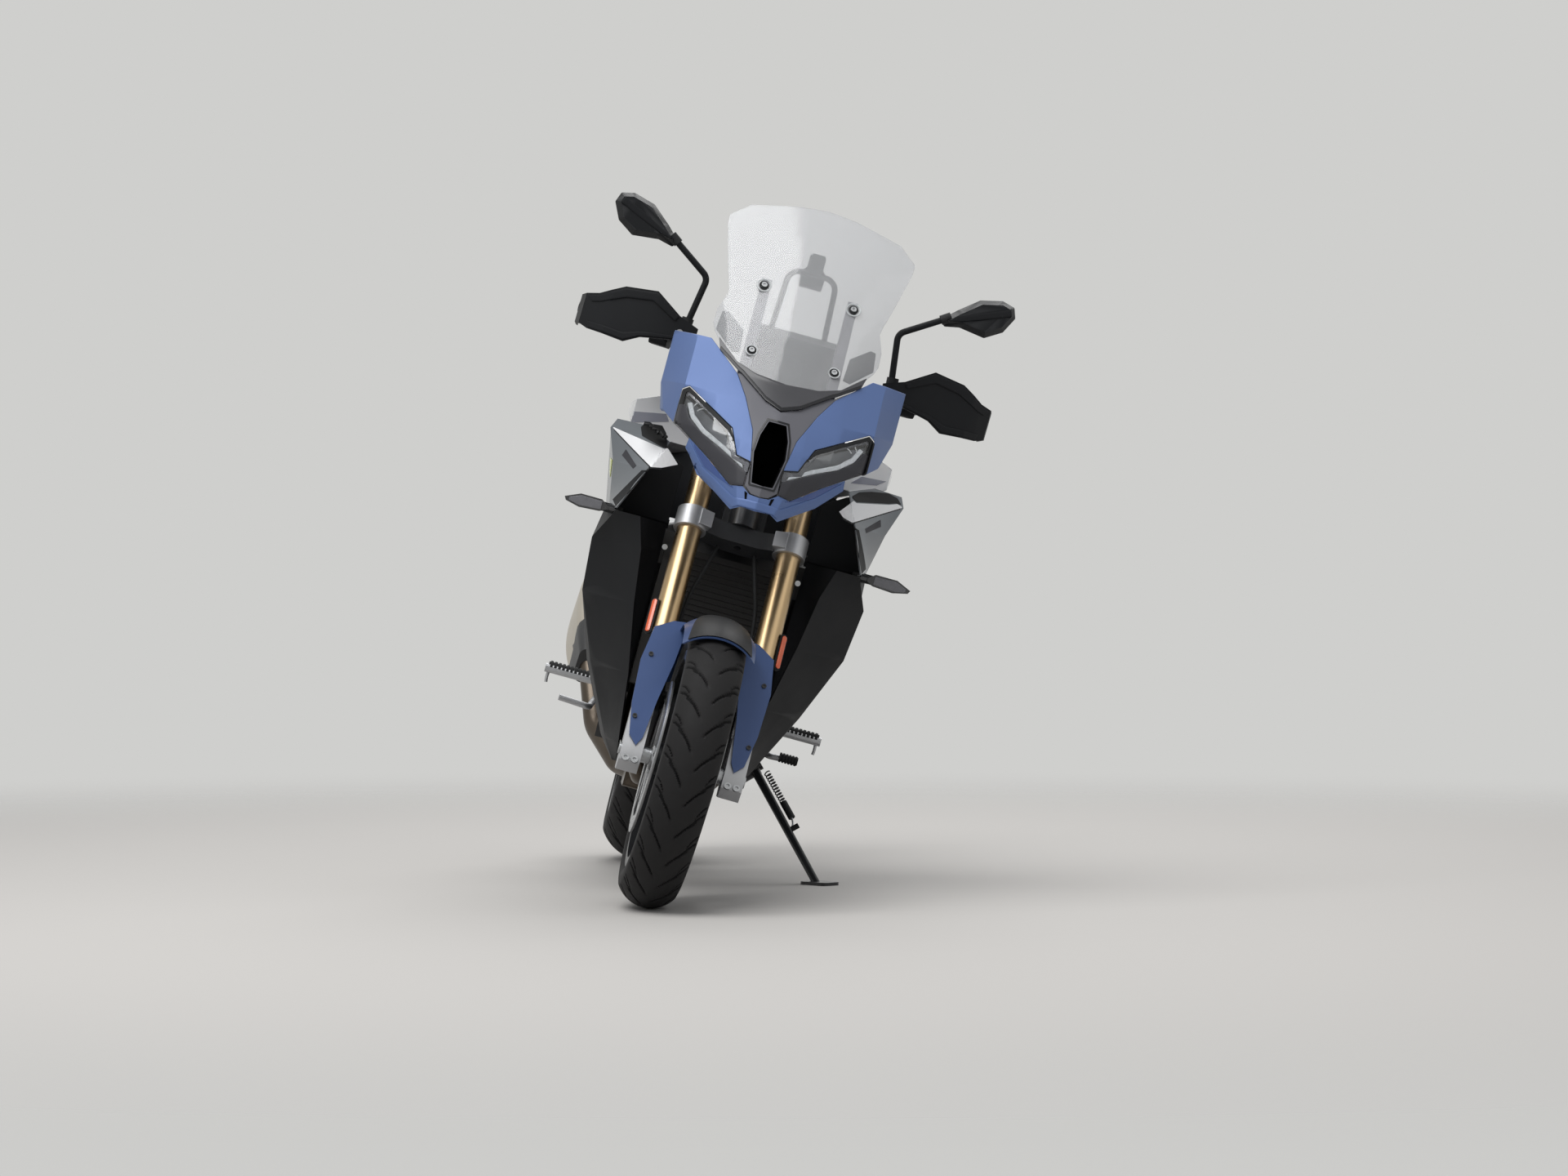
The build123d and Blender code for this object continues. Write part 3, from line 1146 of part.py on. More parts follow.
signal_head = [(284, 775), (300, 786), (346, 786), (378, 772), (374, 765), (344, 758), (300, 761), (284, 768)]
with BuildPart() as turn_signals:
    front_prism(signal_head, Mode.ADD, -488, -456)
    with BuildSketch(Plane.YZ.offset(262)) as front_stalk:
        with Locations((-472, 771.5)):
            RectangleRounded(20, 12, 5)
    extrude(front_stalk.sketch, amount=30)
    with BuildSketch(Plane.YZ.offset(30 + seam)) as rear_stalk:
        with Locations((905, 777)):
            RectangleRounded(20, 12, 5)
    extrude(rear_stalk.sketch, amount=40)
    with BuildSketch(Plane.YZ.offset(62)) as rear_head:
        with Locations((905, 777)):
            RectangleRounded(32, 24, 10)
    extrude(rear_head.sketch, amount=78, taper=5)
    mirror(about=Plane.YZ)
    add(side_fairings.part, mode=Mode.SUBTRACT)
    add(lower_panels.part, mode=Mode.SUBTRACT)

# rear mudguard close over the tyre
with BuildPart() as rear_mudguard:
    revolve(arch_section(rear_axle, 10, rear_radius + 10, rear_width / 2 + 5, 40),
            axis=Axis(rear_axle, (1, 0, 0)), revolution_arc=92)
    side_prism([(446, 366), (484, 366), (484, 408), (446, 408)], Mode.ADD, 98.5, swing_outer - swing_depth - seam)
    mirror(about=Plane.YZ)

# foot rests with their hanger plates, gear lever and brake pedal
with BuildPart() as foot_controls:
    with BuildSketch(Plane.YZ.offset(pivot_plate_outer + seam)) as hanger:
        Polygon((148, 352), (214, 350), (214, 480), (196, 540), (176, 540), (150, 440), align=None)
    extrude(hanger.sketch, amount=12)
    with BuildSketch(Plane.YZ.offset(pivot_plate_outer + 8)) as peg:
        with Locations((176, 400)):
            RectangleRounded(28, 20, 8)
    extrude(peg.sketch, amount=323 - pivot_plate_outer - 8)
    mirror(about=Plane.YZ)
    run_tube([(168, 190, 366), (196, 168, 362), (206, 10, 344), (272, 2, 348)], [14, 14], 7)
    run_tube([(-168, 190, 366), (-196, 168, 362), (-206, 0, 344), (-276, -8, 348)], [14, 14], 7)

# side stand: knuckle on its bolt, leg and foot flat on the ground
stand_along = (stand_down - ground.z_dir * stand_down.dot(ground.z_dir)).normalized()
with BuildPart() as side_stand:
    with BuildSketch(stand_plane(-9.6)) as knuckle:
        Circle(20)
        Circle(stand_pin + bearing_gap, mode=Mode.SUBTRACT)
    extrude(knuckle.sketch, amount=19.8)
    leg_start = stand_hinge + stand_down * 16
    with BuildSketch(Plane(origin=leg_start, x_dir=stand_axis, z_dir=stand_down)) as leg_top:
        RectangleRounded(19, 34, 6)
    with BuildSketch(Plane(origin=stand_foot, x_dir=stand_axis, z_dir=stand_down)) as leg_low:
        RectangleRounded(17, 22, 6)
    loft([leg_top.sketch.face(), leg_low.sketch.face()])
    with BuildSketch(Plane(origin=stand_foot, x_dir=stand_along, z_dir=ground.z_dir)) as foot_pad:
        with Locations((8, 0)):
            RectangleRounded(86, 52, 16)
    extrude(foot_pad.sketch, amount=7)
    split(bisect_by=Plane(origin=stand_foot, z_dir=ground.z_dir), keep=Keep.TOP)

pieces = dict(front_tyre=front_tyre, front_rim=front_rim, front_discs=front_discs, rear_tyre=rear_tyre,
              rear_rim=rear_rim, rear_disc=rear_disc, rear_sprocket=rear_sprocket, fork_tubes=fork_tubes,
              fork_feet=fork_feet, front_axle=front_axle_bar_piece, front_calipers=front_calipers,
              fork_clamps=fork_clamps, clamp_collars=clamp_collars, handlebar=handlebar, grips=grips,
              switchgear=switchgear,
              handguards=handguards, mirrors=mirrors, front_fender=front_fender, main_frame=main_frame,
              engine=engine, swingarm=swingarm, rear_axle=rear_axle_bar_piece,
              rear_caliper=rear_caliper, shock=shock, chain=chain,
              radiator=radiator, exhaust_headers=exhaust_headers, silencer=silencer, front_cowl=front_cowl,
              beak=beak, nose_panel=nose_panel, headlights=headlights,
              headlight_lenses=headlight_lenses, front_carrier=front_carrier,
              windscreen=windscreen, dash=dash, side_fairings=side_fairings, inner_panels=inner_panels,
              lower_panels=lower_panels,
              tank_cover=tank_cover, seats=seats, subframe=subframe,
              tail_fairing=tail_fairing, luggage_rack=luggage_rack, tail_lamp=tail_lamp,
              plate_carrier=plate_carrier, turn_signals=turn_signals, rear_mudguard=rear_mudguard,
              foot_controls=foot_controls, side_stand=side_stand)

# ================================================================ park it and write the pieces
steered = ("front_tyre", "front_rim", "front_discs", "fork_tubes", "fork_feet", "front_axle", "front_calipers",
           "fork_clamps", "clamp_collars", "handlebar", "grips", "switchgear", "handguards", "mirrors", "front_fender")
parked = {}
for name, piece in pieces.items():
    parked[name] = standing * (steer_turn * piece.part if name in steered else piece.part)
box = Compound(children=[Compound(part.wrapped) for part in parked.values()]).bounding_box()
centred = Location((-(box.min.X + box.max.X) / 2, -(box.min.Y + box.max.Y) / 2, 0))
placement = centred * standing

os.makedirs("parts", exist_ok=True)
for name, part in parked.items():
    placed = centred * part
    placed.label = name
    export_step(placed, f"parts/{name}.step")
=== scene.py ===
import json
import math

import bpy
from mathutils import Matrix, Vector
from mathutils.bvhtree import BVHTree


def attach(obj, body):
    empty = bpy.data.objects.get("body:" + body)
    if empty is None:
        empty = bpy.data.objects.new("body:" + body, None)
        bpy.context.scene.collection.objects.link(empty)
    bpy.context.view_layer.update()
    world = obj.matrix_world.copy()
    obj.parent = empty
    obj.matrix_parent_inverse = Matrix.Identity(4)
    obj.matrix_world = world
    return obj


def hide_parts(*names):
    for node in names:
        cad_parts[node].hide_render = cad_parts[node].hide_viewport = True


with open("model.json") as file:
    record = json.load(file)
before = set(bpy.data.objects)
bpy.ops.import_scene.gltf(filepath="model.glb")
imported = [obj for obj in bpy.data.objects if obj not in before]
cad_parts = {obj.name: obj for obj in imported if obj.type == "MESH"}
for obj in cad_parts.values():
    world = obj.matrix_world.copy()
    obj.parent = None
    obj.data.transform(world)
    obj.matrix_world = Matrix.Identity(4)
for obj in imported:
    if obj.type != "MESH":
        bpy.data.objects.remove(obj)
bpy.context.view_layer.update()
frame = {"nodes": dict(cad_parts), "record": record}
nodes = frame["nodes"]

# ---------------------------------------------------------------- where the upright machine stands
# Pieces are modelled on the upright machine in millimetres: +X to the rider's left, -Y forward, +Z up,
# from the ground half way between the axles. These matrices lay them where the parked machine is.
WHEELBASE = 1522.0
RAKE = math.radians(25.5)
TRAIL = 117.0
FRONT_RADIUS = 300.0
REAR_RADIUS = 320.5
FRONT_AXLE = Vector((0, -WHEELBASE / 2, FRONT_RADIUS))
REAR_AXLE = Vector((0, WHEELBASE / 2, REAR_RADIUS))
FORK_HALF = 108             # from the middle to each fork tube's axis
INTAKE_BACK = -790
FORK_OFFSET = FRONT_RADIUS * math.sin(RAKE) - TRAIL * math.cos(RAKE)
AXLE_STATION = (FRONT_RADIUS - FORK_OFFSET * math.sin(RAKE)) / math.cos(RAKE)
joints = {joint["name"]: joint for joint in frame["record"]["behaviour"]["joints"]}


def parked(axle_joint, anchor):
    """Matrix from the upright machine's millimetres to the parked machine's metres."""
    across = Vector(joints[axle_joint]["axis"]).normalized()
    steer = Vector(joints["steering"]["axis"]).normalized()
    ahead = across.cross(steer)
    back = steer * math.sin(RAKE) - ahead * math.cos(RAKE)
    up = steer * math.cos(RAKE) + ahead * math.sin(RAKE)
    turn = Matrix((across, back, up)).transposed() * 0.001
    place = turn.to_4x4()
    place.translation = Vector(joints[axle_joint]["pos_m"]) - turn @ anchor
    return place


chassis_place = parked("rear_wheel_spin", REAR_AXLE)
steering_place = parked("front_wheel_spin", FRONT_AXLE)
places = {"chassis": chassis_place, "rear_wheel": chassis_place, "side_stand": chassis_place,
    "steering": steering_place, "front_wheel": steering_place}


def steer_point(x, ahead, station):
    """A point of the steering frame: x to the left, ahead of the axis, up along the axis."""
    return Vector((x, FRONT_AXLE.y - TRAIL - ahead * math.cos(RAKE) + station * math.sin(RAKE),
        ahead * math.sin(RAKE) + station * math.cos(RAKE)))


# ---------------------------------------------------------------- camera, floor and light
VIEW_LENS = 96.6                                    # mm, for a frame 36 mm wide
VIEW_HEIGHT = 0.653                                 # metres above the floor
VIEW_FROM_WHEEL = Vector((-0.2145, -8.590, 0))      # metres from the front wheel's centre
VIEW_HEADING = math.atan2(-0.0492, 0.9988)
FLOOR_REACH, FADE_START, FADE_END = 7.0, 1.8, 6.0   # metres from the middle of the floor
view_data = bpy.data.cameras.new("view")
view_data.lens = VIEW_LENS
view_data.sensor_width = 36
view = bpy.data.objects.new("view", view_data)
bpy.context.scene.collection.objects.link(view)
view.location = Vector(joints["front_wheel_spin"]["pos_m"]) + VIEW_FROM_WHEEL
view.location.z = VIEW_HEIGHT
view.rotation_euler = (math.radians(90), 0, VIEW_HEADING)
bpy.context.scene.camera = view
bpy.context.scene.view_settings.view_transform = "Standard"


def srgb(code):
    """Linear colour from an sRGB hex value."""
    parts = [int(code[i:i + 2], 16) / 255 for i in (0, 2, 4)]
    return tuple(p / 12.92 if p <= 0.04045 else ((p + 0.055) / 1.055) ** 2.4 for p in parts) + (1.0,)


def add_node(tree, kind, links=None, values=None, **settings):
    """Adds a shader node with its settings, its sockets' values and the links into it."""
    made = tree.nodes.new("ShaderNode" + kind)
    for key, value in settings.items():
        setattr(made, key, value)
    for key, value in (values or {}).items():
        made.inputs[key].default_value = value
    for key, source in (links or {}).items():
        tree.links.new(source, made.inputs[key])
    return made


def surface(name, colour, **values):
    """A material whose constant values sit on the shader's own sockets."""
    made = bpy.data.materials.new(name)
    made.use_nodes = True
    shader = made.node_tree.nodes["Principled BSDF"]
    shader.inputs["Base Color"].default_value = srgb(colour)
    for key, value in values.items():
        shader.inputs[key.replace("_", " ").title().replace("Ior", "IOR")].default_value = value
    return made


PALE = "CFCFCD"
world = bpy.data.worlds.new("studio")
bpy.context.scene.world = world
world.use_nodes = True
sky = world.node_tree
sky.nodes.clear()
rays = add_node(sky, "LightPath")
seen = add_node(sky, "Math", {0: rays.outputs["Is Camera Ray"], 1: rays.outputs["Is Glossy Ray"]},
    operation="MAXIMUM")
seen = add_node(sky, "Math", {0: seen.outputs[0], 1: rays.outputs["Is Transmission Ray"]},
    operation="MAXIMUM")
pale_back = add_node(sky, "Background", values={"Color": srgb(PALE), "Strength": 1.0})
soft_fill = add_node(sky, "Background", values={"Color": srgb("EEF1F6"), "Strength": 0.38})
either = add_node(sky, "MixShader", {0: seen.outputs[0], 1: soft_fill.outputs[0],
    2: pale_back.outputs[0]})
add_node(sky, "OutputWorld", {"Surface": either.outputs[0]})


def soft_lamp(name, place, aim, power, size):
    """A square soft lamp aimed at a point."""
    lamp = bpy.data.objects.new(name, bpy.data.lights.new(name, "AREA"))
    lamp.data.energy = power
    lamp.data.size = size
    lamp.location = place
    lamp.rotation_euler = (Vector(aim) - Vector(place)).to_track_quat("-Z", "Y").to_euler()
    bpy.context.scene.collection.objects.link(lamp)


def added(primitive, **settings):
    """A new primitive mesh, the only object selected."""
    bpy.ops.object.select_all(action="DESELECT")
    primitive(**settings)
    return bpy.context.object


soft_lamp("key", (-1.6, -2.6, 5.2), (0, 0, 0.7), 235, 4.2)
soft_lamp("fill", (3.4, -3.0, 3.2), (0, 0, 0.6), 16, 3.0)
soft_lamp("back", (0.8, 3.4, 4.8), (0, 0, 0.7), 140, 4.0)

floor = added(bpy.ops.mesh.primitive_circle_add, vertices=96, radius=FLOOR_REACH, fill_type="NGON",
    location=(0, 0, 0))
floor.name = "floor"
# matt seamless floor: pale, fades into the backdrop so that no edge shows
floor_finish = surface("pale_seamless_floor", "C4C1BD", roughness=0.85)
tree = floor_finish.node_tree
floor_shader = tree.nodes["Principled BSDF"]
spot = add_node(tree, "TexCoord")
away = add_node(tree, "VectorMath", {0: spot.outputs["Object"]}, operation="LENGTH")
fade = add_node(tree, "MapRange", {"Value": away.outputs["Value"]},
    {"From Min": FADE_START, "From Max": FADE_END}, interpolation_type="SMOOTHERSTEP")
clear_floor = add_node(tree, "BsdfTransparent")
fading = add_node(tree, "MixShader", {0: fade.outputs[0], 1: floor_shader.outputs[0],
    2: clear_floor.outputs[0]})
tree.links.new(fading.outputs[0], tree.nodes["Material Output"].inputs["Surface"])
floor.data.materials.append(floor_finish)


# ---------------------------------------------------------------- materials
def coordinates(made, place=None):
    """Object coordinates in metres, or in the upright machine's metres for a place."""
    tree = made.node_tree
    spot = add_node(tree, "TexCoord").outputs["Object"]
    if place is None:
        return spot
    back = (place @ Matrix.Scale(1000, 4)).inverted()
    return add_node(tree, "Mapping", {"Vector": spot},
        {"Location": back.translation, "Rotation": back.to_euler()}).outputs[0]


def material(name, colour, size, height, rough, tones=None, patch=60.0, cells=False, **values):
    """A surface with a grain of a real size and height in mm, a range of roughness, and two tones in patches."""
    made = surface(name, colour, **values)
    tree = made.node_tree
    shader = tree.nodes["Principled BSDF"]
    spot = coordinates(made)
    if cells:
        grain = add_node(tree, "TexVoronoi", {"Vector": spot}, {"Scale": 1000 / size})
    else:
        grain = add_node(tree, "TexNoise", {"Vector": spot}, {"Scale": 1000 / size, "Detail": 3.0})
    bump = add_node(tree, "Bump", {"Height": grain.outputs[0]},
        {"Distance": height / 1000, "Strength": 1.0})
    tree.links.new(bump.outputs[0], shader.inputs["Normal"])
    cloud = add_node(tree, "TexNoise", {"Vector": spot}, {"Scale": 1000 / patch, "Detail": 4.0})
    finish = add_node(tree, "MapRange", {"Value": cloud.outputs[0]},
        {"From Min": 0.3, "From Max": 0.7, "To Min": rough[0], "To Max": rough[1]})
    tree.links.new(finish.outputs[0], shader.inputs["Roughness"])
    if tones:
        blend = add_node(tree, "Mix", {"Factor": cloud.outputs[0]}, data_type="RGBA")
        blend.inputs[6].default_value = srgb(tones[0])
        blend.inputs[7].default_value = srgb(tones[1])
        tree.links.new(blend.outputs[2], shader.inputs["Base Color"])
    return made


# satin metallic lacquer: soft wide highlight, flakes about 0.4 mm drawn at 1.2 mm
blue_lacquer = material("satin_metallic_blue_lacquer", "576E9F", 1.2, 0.006, (0.46, 0.56), ("52699A", "5B73A3"), 140,
    metallic=0.3, coat_weight=0.1, coat_roughness=0.4)
# the same lacquer on the mudguard, painted a deeper blue: painted shade from the overhanging nose
shaded_fender_blue = material("painted_shade_metallic_blue", "41588A", 1.2, 0.006, (0.36, 0.46), ("39507F", "445B8A"), 120,
    metallic=0.3, coat_weight=0.2, coat_roughness=0.2)
# gloss blue lacquer in the beak's recesses, painted darker and more saturated than the panels round it: painted shade
# in the recesses
recess_shade_blue = material("painted_recess_shade_gloss", "3A4FA0", 1.2, 0.004, (0.20, 0.28), ("304A86", "3A5694"), 90,
    metallic=0.3, coat_weight=0.6, coat_roughness=0.08)
# gloss white lacquer over ABS: clean, with a faint orange peel of about 2 mm
white_lacquer = material("gloss_white_lacquer", "E6E7EA", 2.2, 0.004, (0.22, 0.30), ("F4F5F6", "F9F9FA"), 160,
    coat_weight=0.5, coat_roughness=0.06)
# silver metallic lacquer: cool mid grey that turns light on upper faces
silver_lacquer = material("silver_metallic_lacquer", "777C81", 1.2, 0.005, (0.28, 0.36), ("70757A", "7E8388"), 120,
    metallic=0.55, coat_weight=0.4, coat_roughness=0.1)
# moulded ABS with a fine leather-like grain of about 0.9 mm: near black, matt
grained_abs = material("grained_black_abs", "1F2022", 0.9, 0.05, (0.48, 0.60), ("191A1C", "212224"), 110, cells=True,
    specular_ior_level=0.14)
# dark warm-grey moulded ABS between the lamps: lighter than the black mouldings, matt
grey_abs = material("grained_grey_abs", "4A4A4F", 1.0, 0.05, (0.45, 0.56), ("5A5A60", "65656B"), 90, cells=True,
    specular_ior_level=0.4)
# darker moulding below the lamp lenses
dark_abs = material("grained_dark_grey_abs", "3A3A3E", 1.0, 0.05, (0.42, 0.54), ("333337", "3E3E43"), 60, cells=True,
    specular_ior_level=0.3)
# satin black moulding: wide dull highlight
satin_black = material("satin_black_moulding", "191A1C", 1.2, 0.01, (0.40, 0.50), ("17181A", "1E1F21"), 80,
    specular_ior_level=0.3)
# gloss black moulding: mirror-like dark trim with faint sink marks
gloss_black = material("gloss_black_moulding", "15161A", 6.0, 0.003, (0.22, 0.30), ("141519", "1A1B1F"), 80,
    specular_ior_level=0.4)
# inside of the intake and in the beak's slits: near-black painted shade, darker than the black mouldings, where light
# hardly reaches
painted_shade_black = material("near_black_painted_shade", "060607", 2.0, 0.02, (0.85, 0.95), ("050506", "08080A"), 50,
    specular_ior_level=0.1)
# smoked cover under the screen: dark grey plastic whose sheen softens what it mirrors
smoked_cover = material("smoked_cover_moulding", "3C3C40", 8.0, 0.003, (0.20, 0.28), ("38383C", "434347"), 90,
    specular_ior_level=0.6)
# moulded black rubber: dull, slightly dusty
black_rubber = material("moulded_black_rubber", "1F2021", 0.6, 0.03, (0.62, 0.78), ("1C1D1E", "252627"), 40,
    specular_ior_level=0.3)
# tyre tread rubber: dull dark grey, scuffed lighter in patches by the road
tread_rubber = material("tyre_tread_rubber", "2C2C2D", 1.4, 0.10, (0.58, 0.74), ("1E1E1F", "2C2B2B"), 25,
    specular_ior_level=0.16)
# floor of the tread's grooves: rubber painted darker than the scuffed crown, as painted shade in the grooves
groove_shade_rubber = material("groove_floor_painted_shade", "0C0C0D", 1.4, 0.05, (0.75, 0.88), ("0A0A0B", "101011"), 25,
    specular_ior_level=0.2)
# gold anodised aluminium tube: warm metal, fine drawing lines along it
gold_anodised = material("gold_anodised_aluminium", "C9A878", 0.5, 0.004, (0.26, 0.34), ("B49A74", "C2A984"), 70,
    metallic=1.0)
# cast and machined aluminium, clear finished: bright satin silver
bright_casting = material("machined_cast_aluminium", "B4B5B7", 0.7, 0.02, (0.38, 0.50), ("A9AAAD", "BDBEC0"), 30,
    metallic=0.9)
# grey stoved paint on the screen's brackets: flat and even
bracket_paint = material("grey_stoved_paint", "8E8D94", 1.5, 0.01, (0.40, 0.52), ("88878E", "96959C"), 60,
    coat_weight=0.1)
# black painted cast aluminium: slightly rough casting skin under satin paint
black_casting = material("black_painted_casting", "232426", 1.6, 0.06, (0.38, 0.50), ("1F2022", "292A2C"), 60,
    coat_weight=0.15, coat_roughness=0.3)
# black powder coat on frame tubes and wheels: smooth satin with a light orange peel
powder_coat = material("black_powder_coat", "1D1E20", 2.0, 0.01, (0.30, 0.42), ("1B1C1E", "222326"), 90,
    coat_weight=0.2, coat_roughness=0.2)
# turned steel: rings about 0.8 mm apart from the cutting tool
turned_steel = surface("turned_steel", "A9AAAC", metallic=1.0)
# zinc plated steel: pale satin fasteners, faintly mottled
zinc_steel = material("zinc_plated_steel", "B4B6B8", 0.8, 0.01, (0.25, 0.38), ("ACAEB1", "BCBEC0"), 8, metallic=1.0)
# oiled chain steel: darker, greasy patches
chain_steel = material("oiled_chain_steel", "6B665E", 1.0, 0.02, (0.30, 0.50), ("57534C", "7B766D"), 20,
    metallic=0.9)
# stainless exhaust steel, straw coloured by heat in patches
heated_steel = material("heat_tinted_stainless", "8F8577", 0.8, 0.01, (0.28, 0.42), ("4E463E", "6A6259"), 90,
    metallic=1.0)
# bead-blasted champagne aluminium cover on the silencer
champagne_cover = material("champagne_blasted_aluminium", "C4BDB0", 0.7, 0.02, (0.36, 0.46), ("BDB5A7", "CBC5B9"),
    120, metallic=0.85)
# clear cast acrylic: colourless, with a pale veil painted in as a diffuse share: painted reflection of open sky on a
# curved screen
clear_acrylic = material("clear_cast_acrylic", "E9EAEC", 60.0, 0.001, (0.07, 0.10), patch=200,
    transmission_weight=0.76, ior=1.38)
# polished acrylic edge: the cut edge gathers light; its pale line is a painted highlight
acrylic_edge = material("polished_acrylic_edge", "E4E7E8", 1.0, 0.01, (0.15, 0.25), patch=30,
    transmission_weight=0.4, ior=1.49)
# clear polycarbonate lamp lens with a hard coat
lens_clear = material("clear_polycarbonate_lens", "F2F4F5", 80.0, 0.001, (0.06, 0.08), patch=120,
    transmission_weight=1.0, ior=1.58)
# vapour-metallised reflector: bright, slightly smoky mirror
reflector = material("metallised_reflector", "9A9CA2", 30.0, 0.004, (0.42, 0.52), ("85878E", "9C9EA4"), 60,
    metallic=0.35)
# smoky grey reflector bowl behind the lens
smoky_bowl = material("smoked_reflector_bowl", "6F7077", 40.0, 0.02, (0.30, 0.42), ("5A5B61", "72737A"), 60,
    metallic=0.6)
# frosted light guide: milky grey plastic with a faint painted glow that stands for the sky light it gathers
painted_glow_guide = material("frosted_light_guide", "CFD2D6", 2.0, 0.05, (0.20, 0.32), ("C6C9CE", "D8DADD"), 20,
    transmission_weight=0.15, ior=1.5, emission_color=srgb("E4E8EC"), emission_strength=0.22)
# amber reflector: prism grid about 3 mm under a smooth face
amber_reflector = material("amber_prism_reflector", "E2571F", 3.0, 0.15, (0.15, 0.25), ("DB4F1A", "EA6428"), 12,
    cells=True, coat_weight=0.8, coat_roughness=0.03)
# red tail lens with a fluted inner face
red_lens = material("red_acrylic_lens", "B0121A", 4.0, 0.10, (0.08, 0.16), ("A81018", "BC1A22"), 15, cells=True,
    transmission_weight=0.35, ior=1.49, coat_weight=0.5)
# smoked indicator lens
smoked_lens = material("smoked_acrylic_lens", "3A3A3C", 3.0, 0.08, (0.08, 0.18), ("343436", "444446"), 12,
    cells=True, transmission_weight=0.45, ior=1.49, coat_weight=0.5)
# seat vinyl: fine leather grain of 1.5 mm, soft sheen
seat_vinyl = material("grained_seat_vinyl", "232325", 1.5, 0.16, (0.50, 0.64), ("202022", "2A2A2C"), 45, cells=True,
    sheen_weight=0.25, specular_ior_level=0.35)
# printed display under glass, switched off: near black with a blue-grey bloom
display_glass = material("switched_off_display", "0B0D12", 30.0, 0.002, (0.06, 0.12), ("0A0C11", "10131A"), 70,
    coat_weight=1.0, coat_roughness=0.02)
# silvered mirror glass
mirror_glass = material("silvered_mirror_glass", "E8ECEE", 60.0, 0.002, (0.01, 0.03), ("E4E8EB", "ECEFF1"), 100,
    metallic=1.0)
# radiator fins: painted thin aluminium, dusty
fin_paint = material("black_painted_fins", "1B1B1D", 1.5, 0.05, (0.45, 0.60), ("181819", "2A2826"), 35, metallic=0.3)
# reflective number plate blank
plate_blank = material("blank_reflective_plate", "D9DADB", 1.2, 0.01, (0.28, 0.38), ("D4D5D7", "DEDFE0"), 60,
    cells=True, coat_weight=0.3, coat_roughness=0.15)


def turned(made, place, axle):
    """Rings round an axle on turned or ground steel."""
    tree = made.node_tree
    shader = tree.nodes["Principled BSDF"]
    spot = coordinates(made, place)
    arm = add_node(tree, "VectorMath", {0: spot}, operation="SUBTRACT")
    arm.inputs[1].default_value = axle * 0.001
    flat = add_node(tree, "VectorMath", {0: arm.outputs[0]}, operation="MULTIPLY")
    flat.inputs[1].default_value = (0, 1, 1)
    reach = add_node(tree, "VectorMath", {0: flat.outputs[0]}, operation="LENGTH")
    rings = add_node(tree, "TexNoise", {"W": reach.outputs["Value"]}, {"Scale": 1250.0, "Detail": 2.0},
        noise_dimensions="1D")
    finish = add_node(tree, "MapRange", {"Value": rings.outputs[0]}, {"To Min": 0.18, "To Max": 0.42})
    tree.links.new(finish.outputs[0], shader.inputs["Roughness"])
    bump = add_node(tree, "Bump", {"Height": rings.outputs[0]}, {"Distance": 0.00004, "Strength": 1.0})
    tree.links.new(bump.outputs[0], shader.inputs["Normal"])
    return made


front_steel = turned(turned_steel, steering_place, FRONT_AXLE)
rear_steel = turned(surface("turned_steel_rear", "A9AAAC", metallic=1.0), chassis_place, REAR_AXLE)


# ---------------------------------------------------------------- modelling helpers
def alone(piece):
    """Selects one object only and makes it active."""
    bpy.ops.object.select_all(action="DESELECT")
    piece.select_set(True)
    bpy.context.view_layer.objects.active = piece


def edit(piece):
    """Enters edit mode on one object with everything selected."""
    alone(piece)
    bpy.ops.object.mode_set(mode="EDIT")
    bpy.ops.mesh.select_all(action="SELECT")


def done():
    """Leaves edit mode."""
    bpy.ops.object.mode_set(mode="OBJECT")


def applied(piece, kind, **settings):
    """Adds a modifier and applies it."""
    alone(piece)
    shaper = piece.modifiers.new(kind.title(), kind)
    for key, value in settings.items():
        setattr(shaper, key, value)
    bpy.ops.object.modifier_apply(modifier=shaper.name)


def smooth(piece, angle=35):
    """Smooths the shading over edges flatter than an angle."""
    alone(piece)
    bpy.ops.object.shade_smooth_by_angle(angle=math.radians(angle))


def softened(piece, width, segments=2, angle=30):
    """Rounds a piece's sharp edges and smooths its shading."""
    applied(piece, "BEVEL", width=width, segments=segments, limit_method="ANGLE", angle_limit=math.radians(angle),
        harden_normals=False)
    smooth(piece)


def joined(pieces, name):
    """Several pieces made one."""
    bpy.ops.object.select_all(action="DESELECT")
    for piece in pieces:
        piece.select_set(True)
    bpy.context.view_layer.objects.active = pieces[0]
    if len(pieces) > 1:
        bpy.ops.object.join()
    pieces[0].name = name
    return pieces[0]


def settle(piece, body, finish):
    """Lays a piece of the upright machine on its body and gives it its finish."""
    piece.data.transform(piece.matrix_world)
    piece.matrix_world = Matrix.Identity(4)
    piece.data.transform(places[body])
    piece.data.materials.clear()
    piece.data.materials.append(finish)
    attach(piece, body)
    return piece


def moved_circle(points, name, fill="NGON"):
    """A disc or loop whose corners are moved to points."""
    piece = added(bpy.ops.mesh.primitive_circle_add, vertices=len(points), fill_type=fill)
    piece.name = name
    for corner, point in zip(piece.data.vertices, points):
        corner.co = point
    return piece


def plate(name, points, push, width=0.0, segments=2):
    """A plate from its outline's points, pushed to its thickness, with softened edges."""
    piece = moved_circle([Vector(p) for p in points], name)
    edit(piece)
    bpy.ops.mesh.extrude_region_move(TRANSFORM_OT_translate={"value": Vector(push)})
    bpy.ops.mesh.select_all(action="SELECT")
    bpy.ops.mesh.normals_make_consistent(inside=False)
    done()
    if width:
        softened(piece, width, segments)
    return piece


